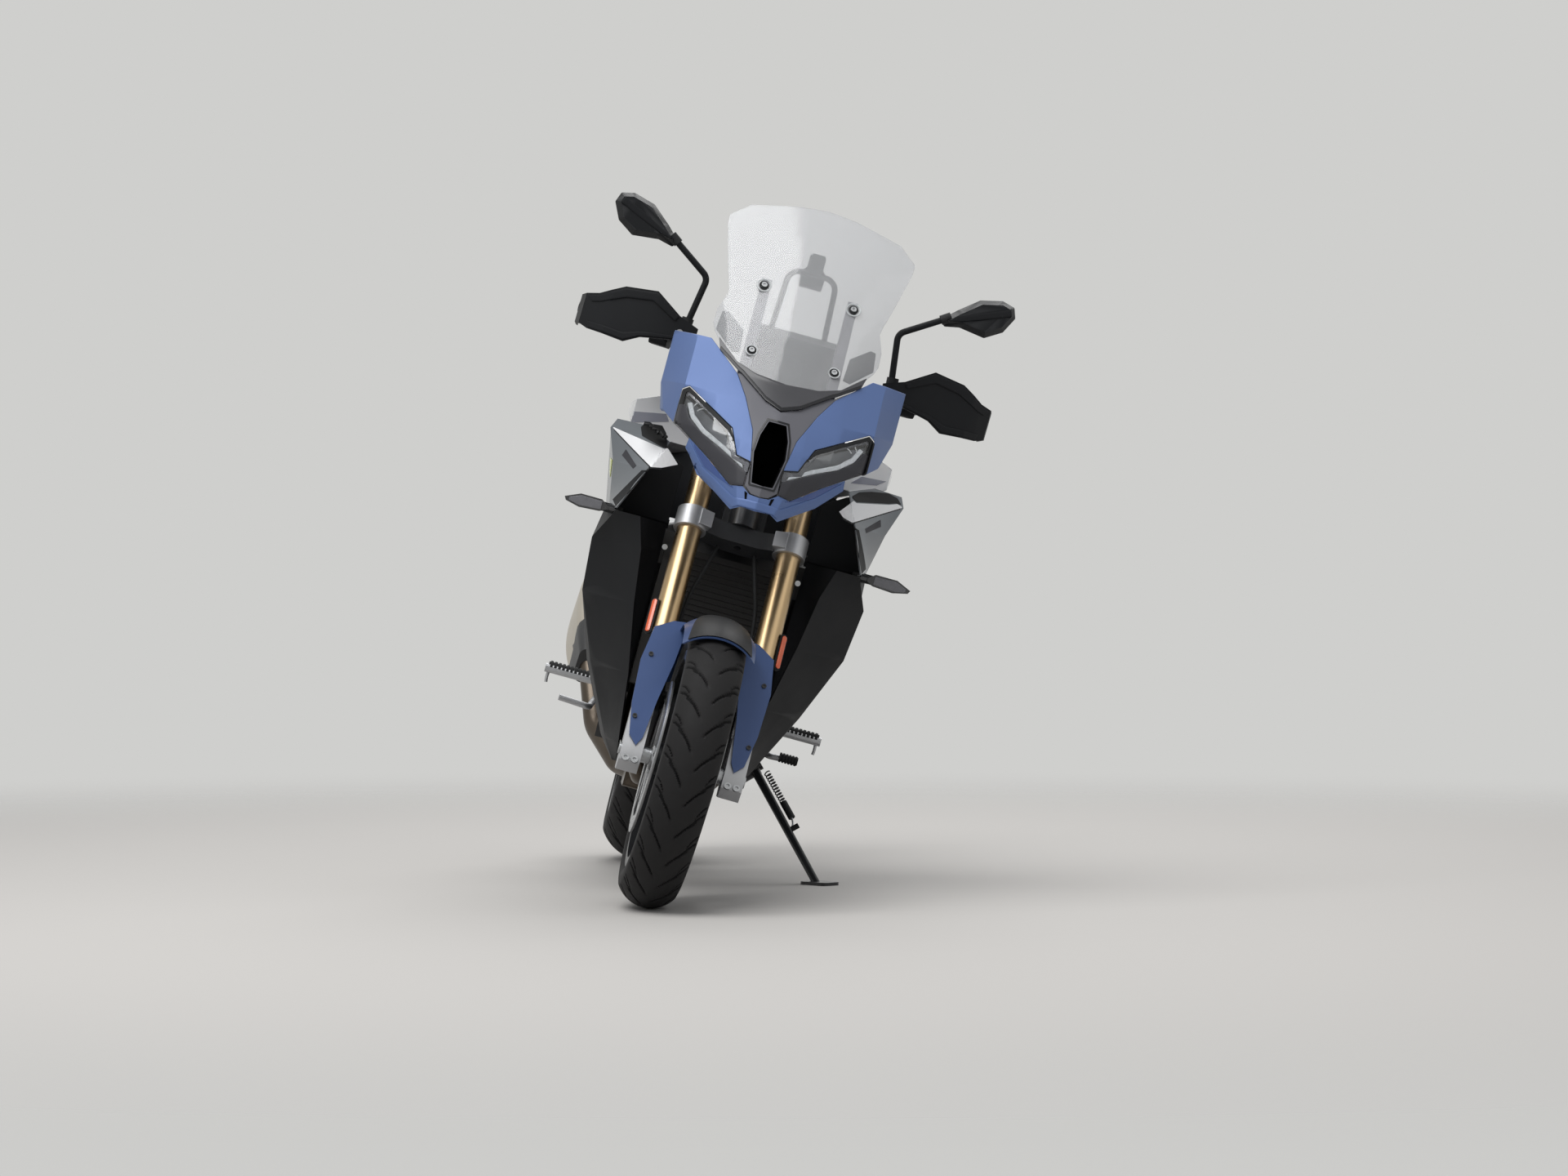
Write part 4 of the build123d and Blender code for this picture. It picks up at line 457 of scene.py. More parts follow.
def lathe(name, profile, centre, steps):
    """A ring round an axle across the machine, from a closed profile of (across, radius)."""
    piece = moved_circle([(centre.x + x, centre.y, centre.z + r) for x, r in profile], name, "NOTHING")
    edit(piece)
    bpy.ops.mesh.spin(steps=steps, angle=2 * math.pi, center=centre, axis=(1, 0, 0))
    bpy.ops.mesh.select_all(action="SELECT")
    bpy.ops.mesh.remove_doubles(threshold=0.01)
    bpy.ops.mesh.normals_make_consistent(inside=False)
    done()
    return piece


def rod(name, points, radius, order=3, sides=6, tight=False):
    """A bar or hose along a smooth line through its control points."""
    line = bpy.data.curves.new(name, "CURVE")
    line.dimensions = "3D"
    spline = line.splines.new("NURBS" if not tight else "POLY")
    spline.points.add(len(points) - 1)
    for point, place in zip(spline.points, points):
        point.co = (*place, 1.0)
    if not tight:
        spline.order_u = order
        spline.use_endpoint_u = True
        spline.resolution_u = 8
    line.bevel_depth = radius
    line.bevel_resolution = sides
    line.use_fill_caps = True
    piece = bpy.data.objects.new(name, line)
    bpy.context.scene.collection.objects.link(piece)
    alone(piece)
    bpy.ops.object.convert(target="MESH")
    piece = bpy.context.object
    smooth(piece, 40)
    return piece


def socket_bolt(place, axis, radius, tall):
    """A socket head bolt whose head stands along an axis."""
    head = added(bpy.ops.mesh.primitive_cylinder_add, vertices=24, radius=radius, depth=tall)
    bpy.ops.object.mode_set(mode="EDIT")
    bpy.ops.mesh.select_all(action="DESELECT")
    done()
    for face in head.data.polygons:
        face.select = face.normal.z > 0.9
    bpy.ops.object.mode_set(mode="EDIT")
    bpy.ops.mesh.inset(thickness=radius * 0.14)
    bpy.ops.mesh.inset(thickness=radius * 0.34)
    bpy.ops.mesh.extrude_region_move(TRANSFORM_OT_translate={"value": (0, 0, -tall * 0.55)})
    done()
    turn = Vector(axis).to_track_quat("Z", "Y").to_matrix().to_4x4()
    head.data.transform(Matrix.Translation(Vector(place) + Vector(axis).normalized() * tall / 2) @ turn)
    smooth(head, 30)
    return head


def bolts(name, spots, axis, radius, tall, body, finish=None):
    """Socket head bolts at several spots, one model copied, joined to one piece."""
    first = socket_bolt((0, 0, 0), axis, radius, tall)
    heads = []
    for spot in spots:
        head = first.copy()
        head.data = first.data.copy()
        bpy.context.scene.collection.objects.link(head)
        head.data.transform(Matrix.Translation(Vector(spot)))
        heads.append(head)
    bpy.data.objects.remove(first)
    return settle(joined(heads, name), body, finish or zinc_steel)


def line_point(line, share):
    """Point at a share of a polyline's length."""
    spans = [math.dist(a, b) for a, b in zip(line, line[1:])]
    run = share * sum(spans)
    for (a, b), span in zip(zip(line, line[1:]), spans):
        if run <= span or b is line[-1]:
            part = min(run / span, 1.0) if span else 0.0
            return [p + (q - p) * part for p, q in zip(a, b)]
        run -= span
    return list(line[-1])


def draped(name, near, far, depth_of, proud, thick, along=40, across=4, soft=0.0):
    """A band between two lines of (x, z), laid on a surface that gives y, standing proud of it."""
    piece = added(bpy.ops.mesh.primitive_grid_add, x_subdivisions=along, y_subdivisions=across, size=2)
    piece.name = name
    for corner in piece.data.vertices:
        u = (corner.co.x + 1) / 2
        w = (corner.co.y + 1) / 2
        a = line_point(near, u)
        b = line_point(far, u)
        x = a[0] + (b[0] - a[0]) * w
        z = a[1] + (b[1] - a[1]) * w
        corner.co = (x, depth_of(x, z) - proud, z)
    edit(piece)
    bpy.ops.mesh.remove_doubles(threshold=0.02)
    bpy.ops.mesh.normals_make_consistent(inside=False)
    done()
    front = sum((face.normal * face.area for face in piece.data.polygons), Vector())
    if front.y > 0:
        piece.data.flip_normals()
    applied(piece, "SOLIDIFY", thickness=thick, offset=-1.0)
    if soft:
        softened(piece, soft)
    else:
        smooth(piece)
    return piece


def closed(line):
    """A loop's points, with the first again at the end."""
    return list(line) + [line[0]]


def sided(side, points):
    """Points given for the left side, on the side asked for."""
    return [(side * point[0], *point[1:]) for point in points]


def band(name, near, far, ground, proud, thick, along, across, soft, finish, slot="black_plastic", body="chassis"):
    """A draped band, laid on its body."""
    settle(draped(name, near, far, ground, proud, thick, along, across, soft), body, finish)


def side_bands(side, word, rows, body="chassis"):
    """Draped bands of one side, each from a row that gives its lines as on the left side."""
    for name, near, far, *rest in rows:
        band(f"{name}_{word}", sided(side, near), sided(side, far), *rest, body=body)


def rubber_boot(name, line, wide, body):
    """A short rubber boot with rounded ends."""
    boot = rod(name, line, wide, sides=8, tight=True)
    softened(boot, 2.0)
    settle(boot, body, black_rubber)


def ribbed(start, count, pitch, width, high, low):
    """Profile of a ribbed sleeve from one end: ribs of a width and a radius over a lower one."""
    profile = [(start, 3.0)]
    for i in range(count):
        rib = start + i * pitch
        profile += [(rib, high), (rib + width, high), (rib + width, low), (rib + pitch, low)]
    return profile + [(start + count * pitch, 3.0)]


def dressed(node, finish, bevel=0.0, angle=32, slot=None):
    """A merged copy of a solid with softened edges, which stands for it."""
    source = nodes[node]
    piece = source.copy()
    piece.data = source.data.copy()
    piece.parent = None
    piece.matrix_world = Matrix.Identity(4)
    bpy.context.scene.collection.objects.link(piece)
    piece.name = node + "_finish"
    piece.hide_render = False
    edit(piece)
    bpy.ops.mesh.remove_doubles(threshold=0.00002)
    bpy.ops.mesh.dissolve_limited(angle_limit=math.radians(0.3))
    done()
    if bevel:
        applied(piece, "BEVEL", width=bevel / 1000, segments=2, limit_method="ANGLE",
            angle_limit=math.radians(angle), use_clamp_overlap=True)
    smooth(piece, angle)
    applied(piece, "WEIGHTED_NORMAL", weight=60, keep_sharp=True)
    piece.data.materials.clear()
    piece.data.materials.append(finish)
    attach(piece, body_of[node])
    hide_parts(node)
    return piece


body_of = {node: body for body, held in frame["record"]["behaviour"]["bodies"].items() for node in held}


def tree_of(*names):
    """The faces of some nodes, in upright millimetres, ready for rays."""
    corners, faces = [], []
    for name in names:
        back = places[body_of[name]].inverted()
        mesh = nodes[name].data
        first = len(corners)
        corners += [back @ corner.co for corner in mesh.vertices]
        faces += [[first + i for i in face.vertices] for face in mesh.polygons]
    return BVHTree.FromPolygons(corners, faces)


def surface_of(*names):
    """Gives the depth y of the foremost surface of some nodes, in upright millimetres, at a place (x, z)."""
    tree = tree_of(*names)

    def depth_of(x, z):
        hit = tree.ray_cast(Vector((x, -1400, z)), Vector((0, 1, 0)))[0]
        return hit.y if hit else tree.find_nearest(Vector((x, -800, z)))[0].y
    return depth_of


def painted(piece, body, finish, test):
    """Gives a second finish to the faces whose centre and normal, on the upright machine, pass a test."""
    back = places[body].inverted()
    turn = back.to_3x3().normalized()
    piece.data.materials.append(finish)
    index = len(piece.data.materials) - 1
    for face in piece.data.polygons:
        if test(back @ face.center, (turn @ face.normal).normalized()):
            face.material_index = index
    return piece


SIDES = ((1, "left"), (-1, "right"))

# ---------------------------------------------------------------- wheels
TYRE_STEPS = 900            # round the wheel, fine enough for the grooves
GROOVE_DEPTH = 4.0
BEAD_RADIUS = 217           # where both tyres sit on their 17 inch rims
CROWN_SHARE = 1.146         # radius of the crown over half the tyre's width
TREAD_SHARE = 0.96          # half the tread's width over half the tyre's
# from and to across the tread, lead round the wheel in periods, bow and half width in mm
GROOVES = ((0.10, 0.74, 0.0, 70, 3.4), (0.44, 0.96, 0.40, 52, 3.0), (0.62, 0.94, 0.72, 44, 2.3))


def tyre(name, axle, half, radius, bead_half, body, turns):
    """A round tyre with curved directional grooves pressed into its crown."""
    crown = half * CROWN_SHARE
    outer = []
    for i in range(45):
        angle = math.asin(TREAD_SHARE / CROWN_SHARE) * (i / 22 - 1)
        outer.append((crown * math.sin(angle), radius - crown * (1 - math.cos(angle))))
    shoulder = outer[-1][1]
    wall = [(half * 0.985, shoulder - 6), (half, shoulder - 17), (half * 0.975, shoulder - 28),
        ((half + bead_half) / 2, BEAD_RADIUS + 13), (bead_half + 1, BEAD_RADIUS + 5), (bead_half, BEAD_RADIUS)]
    profile = [(-x, r) for x, r in wall[::-1]] + outer + wall
    piece = lathe(name, profile, axle, TYRE_STEPS)
    period = 2 * math.pi * radius / turns
    deeps = [0.0] * len(piece.data.vertices)
    for corner in piece.data.vertices:
        arm = Vector((0, corner.co.y - axle.y, corner.co.z - axle.z))
        reach = arm.length
        share = abs(corner.co.x) / half
        if reach < shoulder - 4 or share < 0.10 or share > 0.97:
            continue
        run = math.atan2(arm.y, arm.z) * radius + (period / 2 if corner.co.x > 0 else 0)
        deep = 0.0
        for start, stop, lead, bow, wide in GROOVES:
            if start < share < stop:
                part = (share - start) / (stop - start)
                line = lead * period + bow * (part - 0.35 * part * part)
                gap = abs((run - line + period / 2) % period - period / 2)
                taper = min(1.0, 6 * min(part, 1 - part) + 0.2)
                deep = max(deep, GROOVE_DEPTH * taper * min(1.0, max(0.0, (wide - gap) / 0.9 + 0.5)))
        if deep:
            corner.co.y -= arm.y / reach * deep
            corner.co.z -= arm.z / reach * deep
            deeps[corner.index] = deep
    smooth(piece, 40)
    settle(piece, body, tread_rubber)
    # faces deep in the grooves take the darker rubber: painted shade
    piece.data.materials.append(groove_shade_rubber)
    for face in piece.data.polygons:
        if sum(deeps[i] for i in face.vertices) > 2 * GROOVE_DEPTH:
            face.material_index = 1
    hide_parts(name)
    piece.name = name + "_round"
    return piece


tyre("front_tyre", FRONT_AXLE, 60, FRONT_RADIUS, 38, "front_wheel", 26)
tyre("rear_tyre", REAR_AXLE, 90, REAR_RADIUS, 66, "rear_wheel", 22)


def drilled(node, axle, finish, face, rows, count, hole):
    """A brake disc, its face so far from the middle, with rows of holes drilled through its band."""
    piece = dressed(node, finish, 0.4)
    pins = []
    for row, reach in enumerate(rows):
        for i in range(count):
            angle = 2 * math.pi * (i + row / len(rows)) / count
            spot = (0, axle.y + reach * math.sin(angle), axle.z + reach * math.cos(angle))
            pins.append(added(bpy.ops.mesh.primitive_cylinder_add, vertices=16, radius=hole, depth=2 * face + 60,
                location=spot, rotation=(0, math.radians(90), 0)))
    drill = joined(pins, node + "_drill")
    alone(drill)
    bpy.ops.object.transform_apply()
    drill.data.transform(places[body_of[node]])
    applied(piece, "BOOLEAN", operation="DIFFERENCE", object=drill, solver="EXACT")
    bpy.data.objects.remove(drill)
    smooth(piece, 30)
    return piece


drilled("front_discs", FRONT_AXLE, front_steel, 75, (134, 143.5, 152.5), 24, 3.1)
drilled("rear_disc", REAR_AXLE, rear_steel, 95, (106, 116, 125), 20, 3.0)

# ---------------------------------------------------------------- solids that keep their shape
plain = dict(
    front_rim=(powder_coat, 1.5), rear_rim=(powder_coat, 1.5), rear_sprocket=(zinc_steel, 0.4),
    fork_tubes=(gold_anodised, 1.0), fork_feet=(bright_casting, 2.0), front_axle=(zinc_steel, 0.6),
    front_calipers=(black_casting, 1.5), fork_clamps=(black_casting, 1.5), clamp_collars=(bright_casting, 1.2),
    handlebar=(powder_coat, 0.6), grips=(black_rubber, 1.0), switchgear=(grained_abs, 1.5),
    handguards=(grained_abs, 2.0), mirrors=(grained_abs, 2.0), front_fender=(shaded_fender_blue, 0.8),
    main_frame=(powder_coat, 2.0), engine=(black_casting, 3.0), swingarm=(powder_coat, 2.0),
    rear_axle=(zinc_steel, 0.6), rear_caliper=(black_casting, 1.5), shock=(powder_coat, 0.8),
    chain=(chain_steel, 0.0), radiator=(fin_paint, 0.6), exhaust_headers=(heated_steel, 0.0),
    silencer=(champagne_cover, 3.0), front_cowl=(blue_lacquer, 1.2), beak=(blue_lacquer, 1.0),
    nose_panel=(grey_abs, 1.0), headlights=(smoky_bowl, 0.8), headlight_lenses=(lens_clear, 0.0),
    front_carrier=(bracket_paint, 1.0), windscreen=(clear_acrylic, 0.0), dash=(grained_abs, 1.5),
    side_fairings=(silver_lacquer, 1.2), inner_panels=(grained_abs, 0.6), lower_panels=(grained_abs, 1.5),
    tank_cover=(white_lacquer, 3.0), subframe=(powder_coat, 0.0), tail_fairing=(white_lacquer, 1.2),
    luggage_rack=(black_casting, 1.5), tail_lamp=(red_lens, 1.0), plate_carrier=(grained_abs, 1.0),
    turn_signals=(grained_abs, 1.2), rear_mudguard=(grained_abs, 0.8), foot_controls=(bright_casting, 1.5),
    side_stand=(powder_coat, 1.5))
finished = {node: dressed(node, *look) for node, look in plain.items()}

# chromed sliders above the cast feet
hard_chrome = material("hard_chromed_steel", "D2D4D6", 3.0, 0.002, (0.05, 0.10), ("CDCFD1", "D8DADC"), 60,
    metallic=1.0)
painted(finished["fork_feet"], "steering", hard_chrome,
    lambda p, n: abs(abs(p.x) - FORK_HALF) < 22 and p.z > 440)
# the screen's edge faces carry the painted highlight
painted(finished["windscreen"], "chassis", acrylic_edge, lambda p, n: abs(n.y) < 0.3)
# faces inside the intake are painted near black: painted shade in the duct
painted(finished["nose_panel"], "chassis", painted_shade_black,
    lambda p, n: abs(p.x) < 36 and 882 < p.z < 1023 and (abs(n.y) < 0.5 or p.y > INTAKE_BACK))
painted(finished["silencer"], "chassis", black_casting,
    lambda p, n: p.y < 372 or p.z > 424 + 0.506 * (p.y - 312) + 92)
painted(finished["plate_carrier"], "chassis", plate_blank, lambda p, n: n.y > 0.9 and p.z < 760)
painted(finished["turn_signals"], "chassis", smoked_lens, lambda p, n: n.y < -0.8 or n.y > 0.8)

# ---------------------------------------------------------------- nose
nose_front = surface_of("front_cowl", "beak", "nose_panel", "headlight_lenses")
lens_front = surface_of("headlight_lenses")
beak_front = surface_of("beak")
panel_front = surface_of("nose_panel")
BEHIND_LENS = 9             # from the lens's outer face to a little behind its inner one
BOWL_RIM, BOWL_DEPTH = 14, 34


def behind_lens(x, z):
    """A little behind the lens's inner face."""
    return lens_front(x, z) + BEHIND_LENS


def hollow(x, z):
    """Bowl of the reflector, deepest in the middle of the lamp."""
    reach = ((abs(x) - 122) / 78) ** 2 + ((z - 958) / 70) ** 2
    return lens_front(x, z) + BOWL_RIM + BOWL_DEPTH * max(0.0, 1 - reach)


def inset(line, gap):
    """A closed outline drawn in by a gap."""
    centre = Vector((sum(p[0] for p in line) / len(line), sum(p[1] for p in line) / len(line)))
    drawn = []
    for before, here, after in zip([line[-1]] + line[:-1], line, line[1:] + [line[0]]):
        before, here, after = Vector(before), Vector(here), Vector(after)
        first = (here - before).normalized()
        second = (after - here).normalized()
        one, two = Vector((-first.y, first.x)), Vector((-second.y, second.x))
        if one.dot(centre - here) < 0 and two.dot(centre - here) < 0:
            one, two = -one, -two
        both = (one + two).normalized()
        drawn.append(tuple(here + both * gap / max(both.dot(one), 0.4)))
    return drawn


# edge of one lamp's lens, then what lies in it: bowl, shade, trim, running light, light bar and chrome arcs
LAMP = [(35, 926), (65, 933), (87, 985), (190, 1047), (202, 1039), (202, 972), (164, 946.4), (120, 916.5),
    (62, 872.5), (37, 877)]
GASKET_WIDTH = 8.0
LAMP_BANDS = (
    ("reflector_bowl", [(48, 890), (62, 886), (116, 926), (160, 958), (193, 982)],
        [(46, 917), (70, 928), (95, 974), (140, 1000), (190, 1024)], hollow, 0.0, 1.5, 60, 16, 0.0, reflector,
        "lamp_lens"),
    ("lamp_shade", [(40, 884), (64, 882), (118, 922), (162, 950), (196, 975)],
        [(42, 908), (60, 911), (98, 932), (146, 955), (178, 984)], behind_lens, -6.0, 2.0, 50, 4, 0.5, gloss_black),
    ("lamp_trim", [(37, 878), (62, 873.5), (120, 917.5), (164, 947.4), (201, 973), (201, 1008)],
        [(37, 906), (57, 915), (96, 937), (142, 959), (173, 984), (189, 1010)], lens_front, 2.4, 3.0, 90, 5, 0.6,
        dark_abs),
    ("running_light", [(46, 912), (57, 918), (96, 940), (142, 962), (171, 986), (185, 1014)],
        [(48, 918), (55, 925), (92, 947), (137, 969), (164, 991), (177, 1017)], behind_lens, 4.5, 4.0, 60, 3, 0.8,
        painted_glow_guide, "lamp_lens"))
LIGHT_BARS = (
    ("light_bar", [(146, 973), (152, 972), (175, 993), (177, 999), (172, 1001), (148, 980)], 12, painted_glow_guide),
    ("light_bar_slot", [(150, 976), (153, 976), (171, 993), (172, 996), (169, 996), (151, 979)], 10.5, satin_black))
CHROME_ARCS = (((140, 1012), (153, 1012), (161, 1003)), ((159, 1026), (166, 1019), (171, 1009)))
for side, word in SIDES:
    band(f"lamp_gasket_{word}", closed(sided(side, LAMP)), closed(sided(side, inset(LAMP, GASKET_WIDTH))), lens_front,
        1.4, 3.0, 160, 4, 0.0, black_rubber)
    side_bands(side, word, LAMP_BANDS)
    for name, ring, gap, finish in LIGHT_BARS:
        bar = plate(f"{name}_{word}", [(x, lens_front(x, z) + gap, z) for x, z in sided(side, ring)], (0, 6, 0), 0.8)
        settle(bar, "chassis", finish)
    for number, arc in enumerate(CHROME_ARCS):
        curl = rod(f"chrome_arc_{word}_{number}", [(x, lens_front(x, z) + 12, z) for x, z in sided(side, arc)], 1.8)
        settle(curl, "chassis", hard_chrome)

# intake: a back wall in near-black painted shade, and a rim
INTAKE = [(-20, 1021), (20, 1021), (31, 988), (35, 950), (24, 886), (-24, 886), (-35, 950), (-31, 988)]
baffle = plate("intake_baffle", [(x, INTAKE_BACK, z) for x, z in inset(INTAKE, 2.6)], (0, 3, 0), 0.5)
settle(baffle, "chassis", painted_shade_black)
band("intake_rim", closed(inset(INTAKE, -0.6)), closed(inset(INTAKE, -4.0)), panel_front, 1.2, 2.5, 120, 3, 0.0,
    gloss_black)

# raised lip of the beak, its recesses, and the slits where it meets the panel over it
LIP_LOW = [(-164, 926), (-130, 878), (-48, 830), (-36, 837), (36, 837), (48, 830), (118, 878), (164, 926)]
LIP_HIGH = [(-160, 938), (-122, 893), (-48, 850), (-28, 853), (28, 853), (48, 850), (112, 893), (160, 938)]
band("beak_lip", LIP_LOW, LIP_HIGH, beak_front, 2.6, 2.4, 120, 4, 0.8, blue_lacquer, "blue_panel")
# the recess bands carry painted shade
for side, word in SIDES:
    band(f"beak_recess_{word}", sided(side, ((54, 868), (86, 880), (120, 896), (148, 928))),
        sided(side, ((58, 873), (90, 893), (122, 915), (152, 936))), beak_front, 0.8, 0.8, 50, 3, 0.0,
        recess_shade_blue, "blue_panel")
# the slits are painted near black: painted shade in the gaps
for side, word in SIDES:
    band(f"beak_slit_{word}", sided(side, ((25, 868), (21, 836))), sided(side, ((31, 868), (22.2, 836))), nose_front,
        0.8, 1.0, 20, 2, 0.0, painted_shade_black)

# smoked cover between the nose panel and the screen, with a gloss rim
COVER_LOW = [(-150, 1140), (-104, 1107), (-94, 1102), (-36, 1060), (0, 1046), (36, 1060), (94, 1102), (104, 1107),
    (150, 1140)]
COVER_HIGH = [(-158, 1166), (-110, 1124), (-66, 1109), (0, 1103), (66, 1109), (110, 1124), (158, 1166)]
NOSE_LEVELS = ((1043, -868, -800), (1100, -822, -760), (1175, -768, -702))      # height, depth in the middle, at 200


def nose_line(x, z):
    """Outer face of the nose above its panel."""
    low, high = NOSE_LEVELS[:2] if z < NOSE_LEVELS[1][0] else NOSE_LEVELS[1:]
    share = (z - low[0]) / (high[0] - low[0])
    middle = low[1] + (high[1] - low[1]) * share
    edge = low[2] + (high[2] - low[2]) * share
    return middle + (edge - middle) * (x / 200) ** 2


band("screen_cover", COVER_LOW, COVER_HIGH, nose_line, 0.0, 3.0, 90, 12, 0.6, smoked_cover)
band("screen_cover_rim", COVER_LOW, [(x, z + 8) for x, z in COVER_LOW], nose_line, 2.0, 3.0, 90, 3, 0.5, gloss_black)

# screen fasteners: cap screw, rubber washer, clear collar
screen_front = surface_of("windscreen")
for name, x, z, collar in (("lower", 87.5, 1154.6, 11.5), ("upper", 95.6, 1296.5, 14.5)):
    spots = [(side * x, screen_front(side * x, z) - 2.0, z) for side, word in SIDES]
    bolts(f"screen_bolts_{name}", spots, (0, -0.86, 0.5), 6.0, 4.0, "chassis")
    for label, wide, thin, finish, slot in (("washers", 8.4, 2.0, black_rubber, "rubber"),
            ("collars", collar, 1.8, acrylic_edge, "clear_screen")):
        rings = []
        for spot in spots:
            ring = added(bpy.ops.mesh.primitive_torus_add, major_radius=wide, minor_radius=thin,
                major_segments=40, minor_segments=10, location=spot, rotation=(math.radians(60), 0, 0))
            bpy.ops.object.transform_apply()
            smooth(ring, 60)
            rings.append(ring)
        settle(joined(rings, f"screen_{label}_{name}"), "chassis", finish)

# ---------------------------------------------------------------- steering details
FENDER_CROWN = FRONT_RADIUS + 12.5      # outer radius over the middle of the tyre
FENDER_BOW = 98.1                       # radius of the arch across the tyre
INSERT_AHEAD, INSERT_RUN = 29.6, 26.0   # degrees ahead of straight up, and how far it runs back


def fender_point(across, ahead, proud):
    """Point on the mudguard, across the tyre and so many degrees ahead of straight up."""
    reach = FENDER_CROWN - FENDER_BOW + math.sqrt(FENDER_BOW ** 2 - across ** 2) + proud
    turn = math.radians(ahead)
    return FRONT_AXLE + Vector((across, -reach * math.sin(turn), reach * math.cos(turn)))


insert = added(bpy.ops.mesh.primitive_grid_add, x_subdivisions=40, y_subdivisions=16, size=2)
insert.name = "fender_insert"
for corner in insert.data.vertices:
    rise = (corner.co.y + 1) / 2
    half = (66 - 12 * rise) * math.sqrt(max(0.0, 1 - 0.55 * rise ** 4))
    ahead = INSERT_AHEAD - rise * INSERT_RUN - 6 * rise * abs(corner.co.x) ** 3
    corner.co = fender_point(corner.co.x * half, ahead, 1.6)
edit(insert)
bpy.ops.mesh.normals_make_consistent(inside=False)
done()
applied(insert, "SOLIDIFY", thickness=1.5, offset=1.0)
smooth(insert, 40)
settle(insert, "steering", satin_black)


def fork_station(z):
    """Station of the fork tubes' axis at a height."""
    return (z - FORK_OFFSET * math.sin(RAKE)) / math.cos(RAKE)


# side reflectors: a long rounded holder on each fork tube, the prism lens standing on it
along = Vector((0, math.sin(RAKE), math.cos(RAKE)))
for side, word in SIDES:
    centre = steer_point(side * 136, FORK_OFFSET + 8, fork_station(571))
    out = Vector((side * 0.55, -0.83, 0.39)).normalized()
    wide = along.cross(out).normalized()
    for name, half_wide, half_tall, rise, thick, finish, slot in (
            ("reflector_holder", 9, 42, 0, 7, grained_abs, "black_plastic"),
            ("reflector", 5.5, 38, 7, 2.5, amber_reflector, "red_lens")):
        points = []
        for step in range(24):
            angle = 2 * math.pi * step / 24
            cos, sin = math.cos(angle), math.sin(angle)
            points.append(centre + wide * (half_wide * cos) + out * rise
                + along * ((half_tall - half_wide) * (1 if sin >= 0 else -1) + half_wide * sin))
        settle(plate(f"{name}_{word}", points, out * thick, 0.8), "steering", finish)

# bolts on the steering and the radiator
PINCH_HEIGHT = FRONT_AXLE.z - 15
fork_face = (0, -math.cos(RAKE), math.sin(RAKE))
foot_front = surface_of("fork_feet")
bolts("axle_pinch_bolts", [(x, foot_front(x, PINCH_HEIGHT) - 1.5, PINCH_HEIGHT) for side, word in SIDES
    for x in (side * FORK_HALF - 9.5, side * FORK_HALF + 9.5)], fork_face, 7.5, 5, "steering")
bolts("fender_bolts", [steer_point(side * 121, FORK_OFFSET + 35.5, AXLE_STATION + rise) for side, word in SIDES
    for rise in (62, 205)], fork_face, 5, 3, "steering", black_casting)
bolts("guard_bolts", [(side * 240, -466, 1166) for side, word in SIDES], (0, -1, 0), 7, 4, "steering")
bolts("radiator_bolts", [(side * 146, -447, 725) for side, word in SIDES], (0, -1, 0), 6, 4, "chassis")

# hoses held to the fork and the bar
HOSE_RADIUS = 4.2
for side, word in SIDES:
    for name, line in (
            ("brake_hose", [steer_point(side * 40, -6, AXLE_STATION + 518),
                steer_point(side * 56, -2, AXLE_STATION + 450),
                steer_point(side * 76, FORK_OFFSET - 30, AXLE_STATION + 380),
                steer_point(side * 80, FORK_OFFSET - 36, AXLE_STATION + 240), (side * 74, -655, 430),
                (side * 68, -640, 396)]),
            ("bar_hose", sided(side, ((190, -440, 1150), (150, -470, 1120), (90, -470, 1080), (40, -450, 1010))))):
        settle(rod(f"{name}_{word}", line, HOSE_RADIUS), "steering", black_rubber)

# mirrors: ridge across the shell, glass behind, boots at both ends of the stem
MIRROR = [(446, 1402), (438, 1424), (410, 1431), (363, 1419), (322, 1385), (292, 1356), (303, 1343), (335, 1350),
    (392, 1343), (428, 1366)]
MIRROR_MIDDLE, GLASS_SHARE, GLASS_DEPTH = (374, 1388), 0.84, -377.9
GLASS = [[middle + (at - middle) * GLASS_SHARE for at, middle in zip(point, MIRROR_MIDDLE)] for point in MIRROR]
MIRROR_BOOTS = (((231, -384, 1166), (228, -384, 1206), 13), ((292, -389, 1353), (311, -390, 1366), 10.5))
mirror_front = surface_of("mirrors")
for side, word in SIDES:
    band(f"mirror_ridge_{word}", sided(side, ((310, 1353), (376, 1378), (434, 1402))),
        sided(side, ((308, 1358), (370, 1390), (428, 1415))), mirror_front, 1.6, 1.6, 30, 3, 0.5, grained_abs,
        body="steering")
    glass = plate(f"mirror_glass_{word}", [(x, GLASS_DEPTH, z) for x, z in sided(side, GLASS)], (0, 1.2, 0), 0.3)
    settle(glass, "steering", mirror_glass)
    for number, (low, high, wide) in enumerate(MIRROR_BOOTS):
        rubber_boot(f"mirror_boot_{word}_{number}", sided(side, (low, high)), wide, "steering")

# hand guards: a raised brow and chin on each
guard_front = surface_of("handguards")
for side, word in SIDES:
    side_bands(side, word, (
        ("guard_brow", ((446, 1193), (423, 1199), (373, 1226), (306, 1234), (250, 1197)),
            ((436, 1182), (418, 1186), (368, 1208), (312, 1216), (256, 1187)), guard_front, 3.0, 3.0, 50, 4, 0.9,
            grained_abs),
        ("guard_chin", ((236, 1158), (318, 1146), (356, 1134), (436, 1140)),
            ((240, 1152), (320, 1137), (352, 1120), (430, 1127)), guard_front, 3.0, 3.0, 50, 4, 0.9, grained_abs)),
        "steering")

# ---------------------------------------------------------------- side bodywork
# smoked grey indicator lens over a bright bowl: reads as a mid grey
signal_grey = material("smoked_grey_indicator_lens", "6C6C70", 3.0, 0.06, (0.12, 0.22), ("626266", "78787C"), 12,
    cells=True, specular_ior_level=0.6)
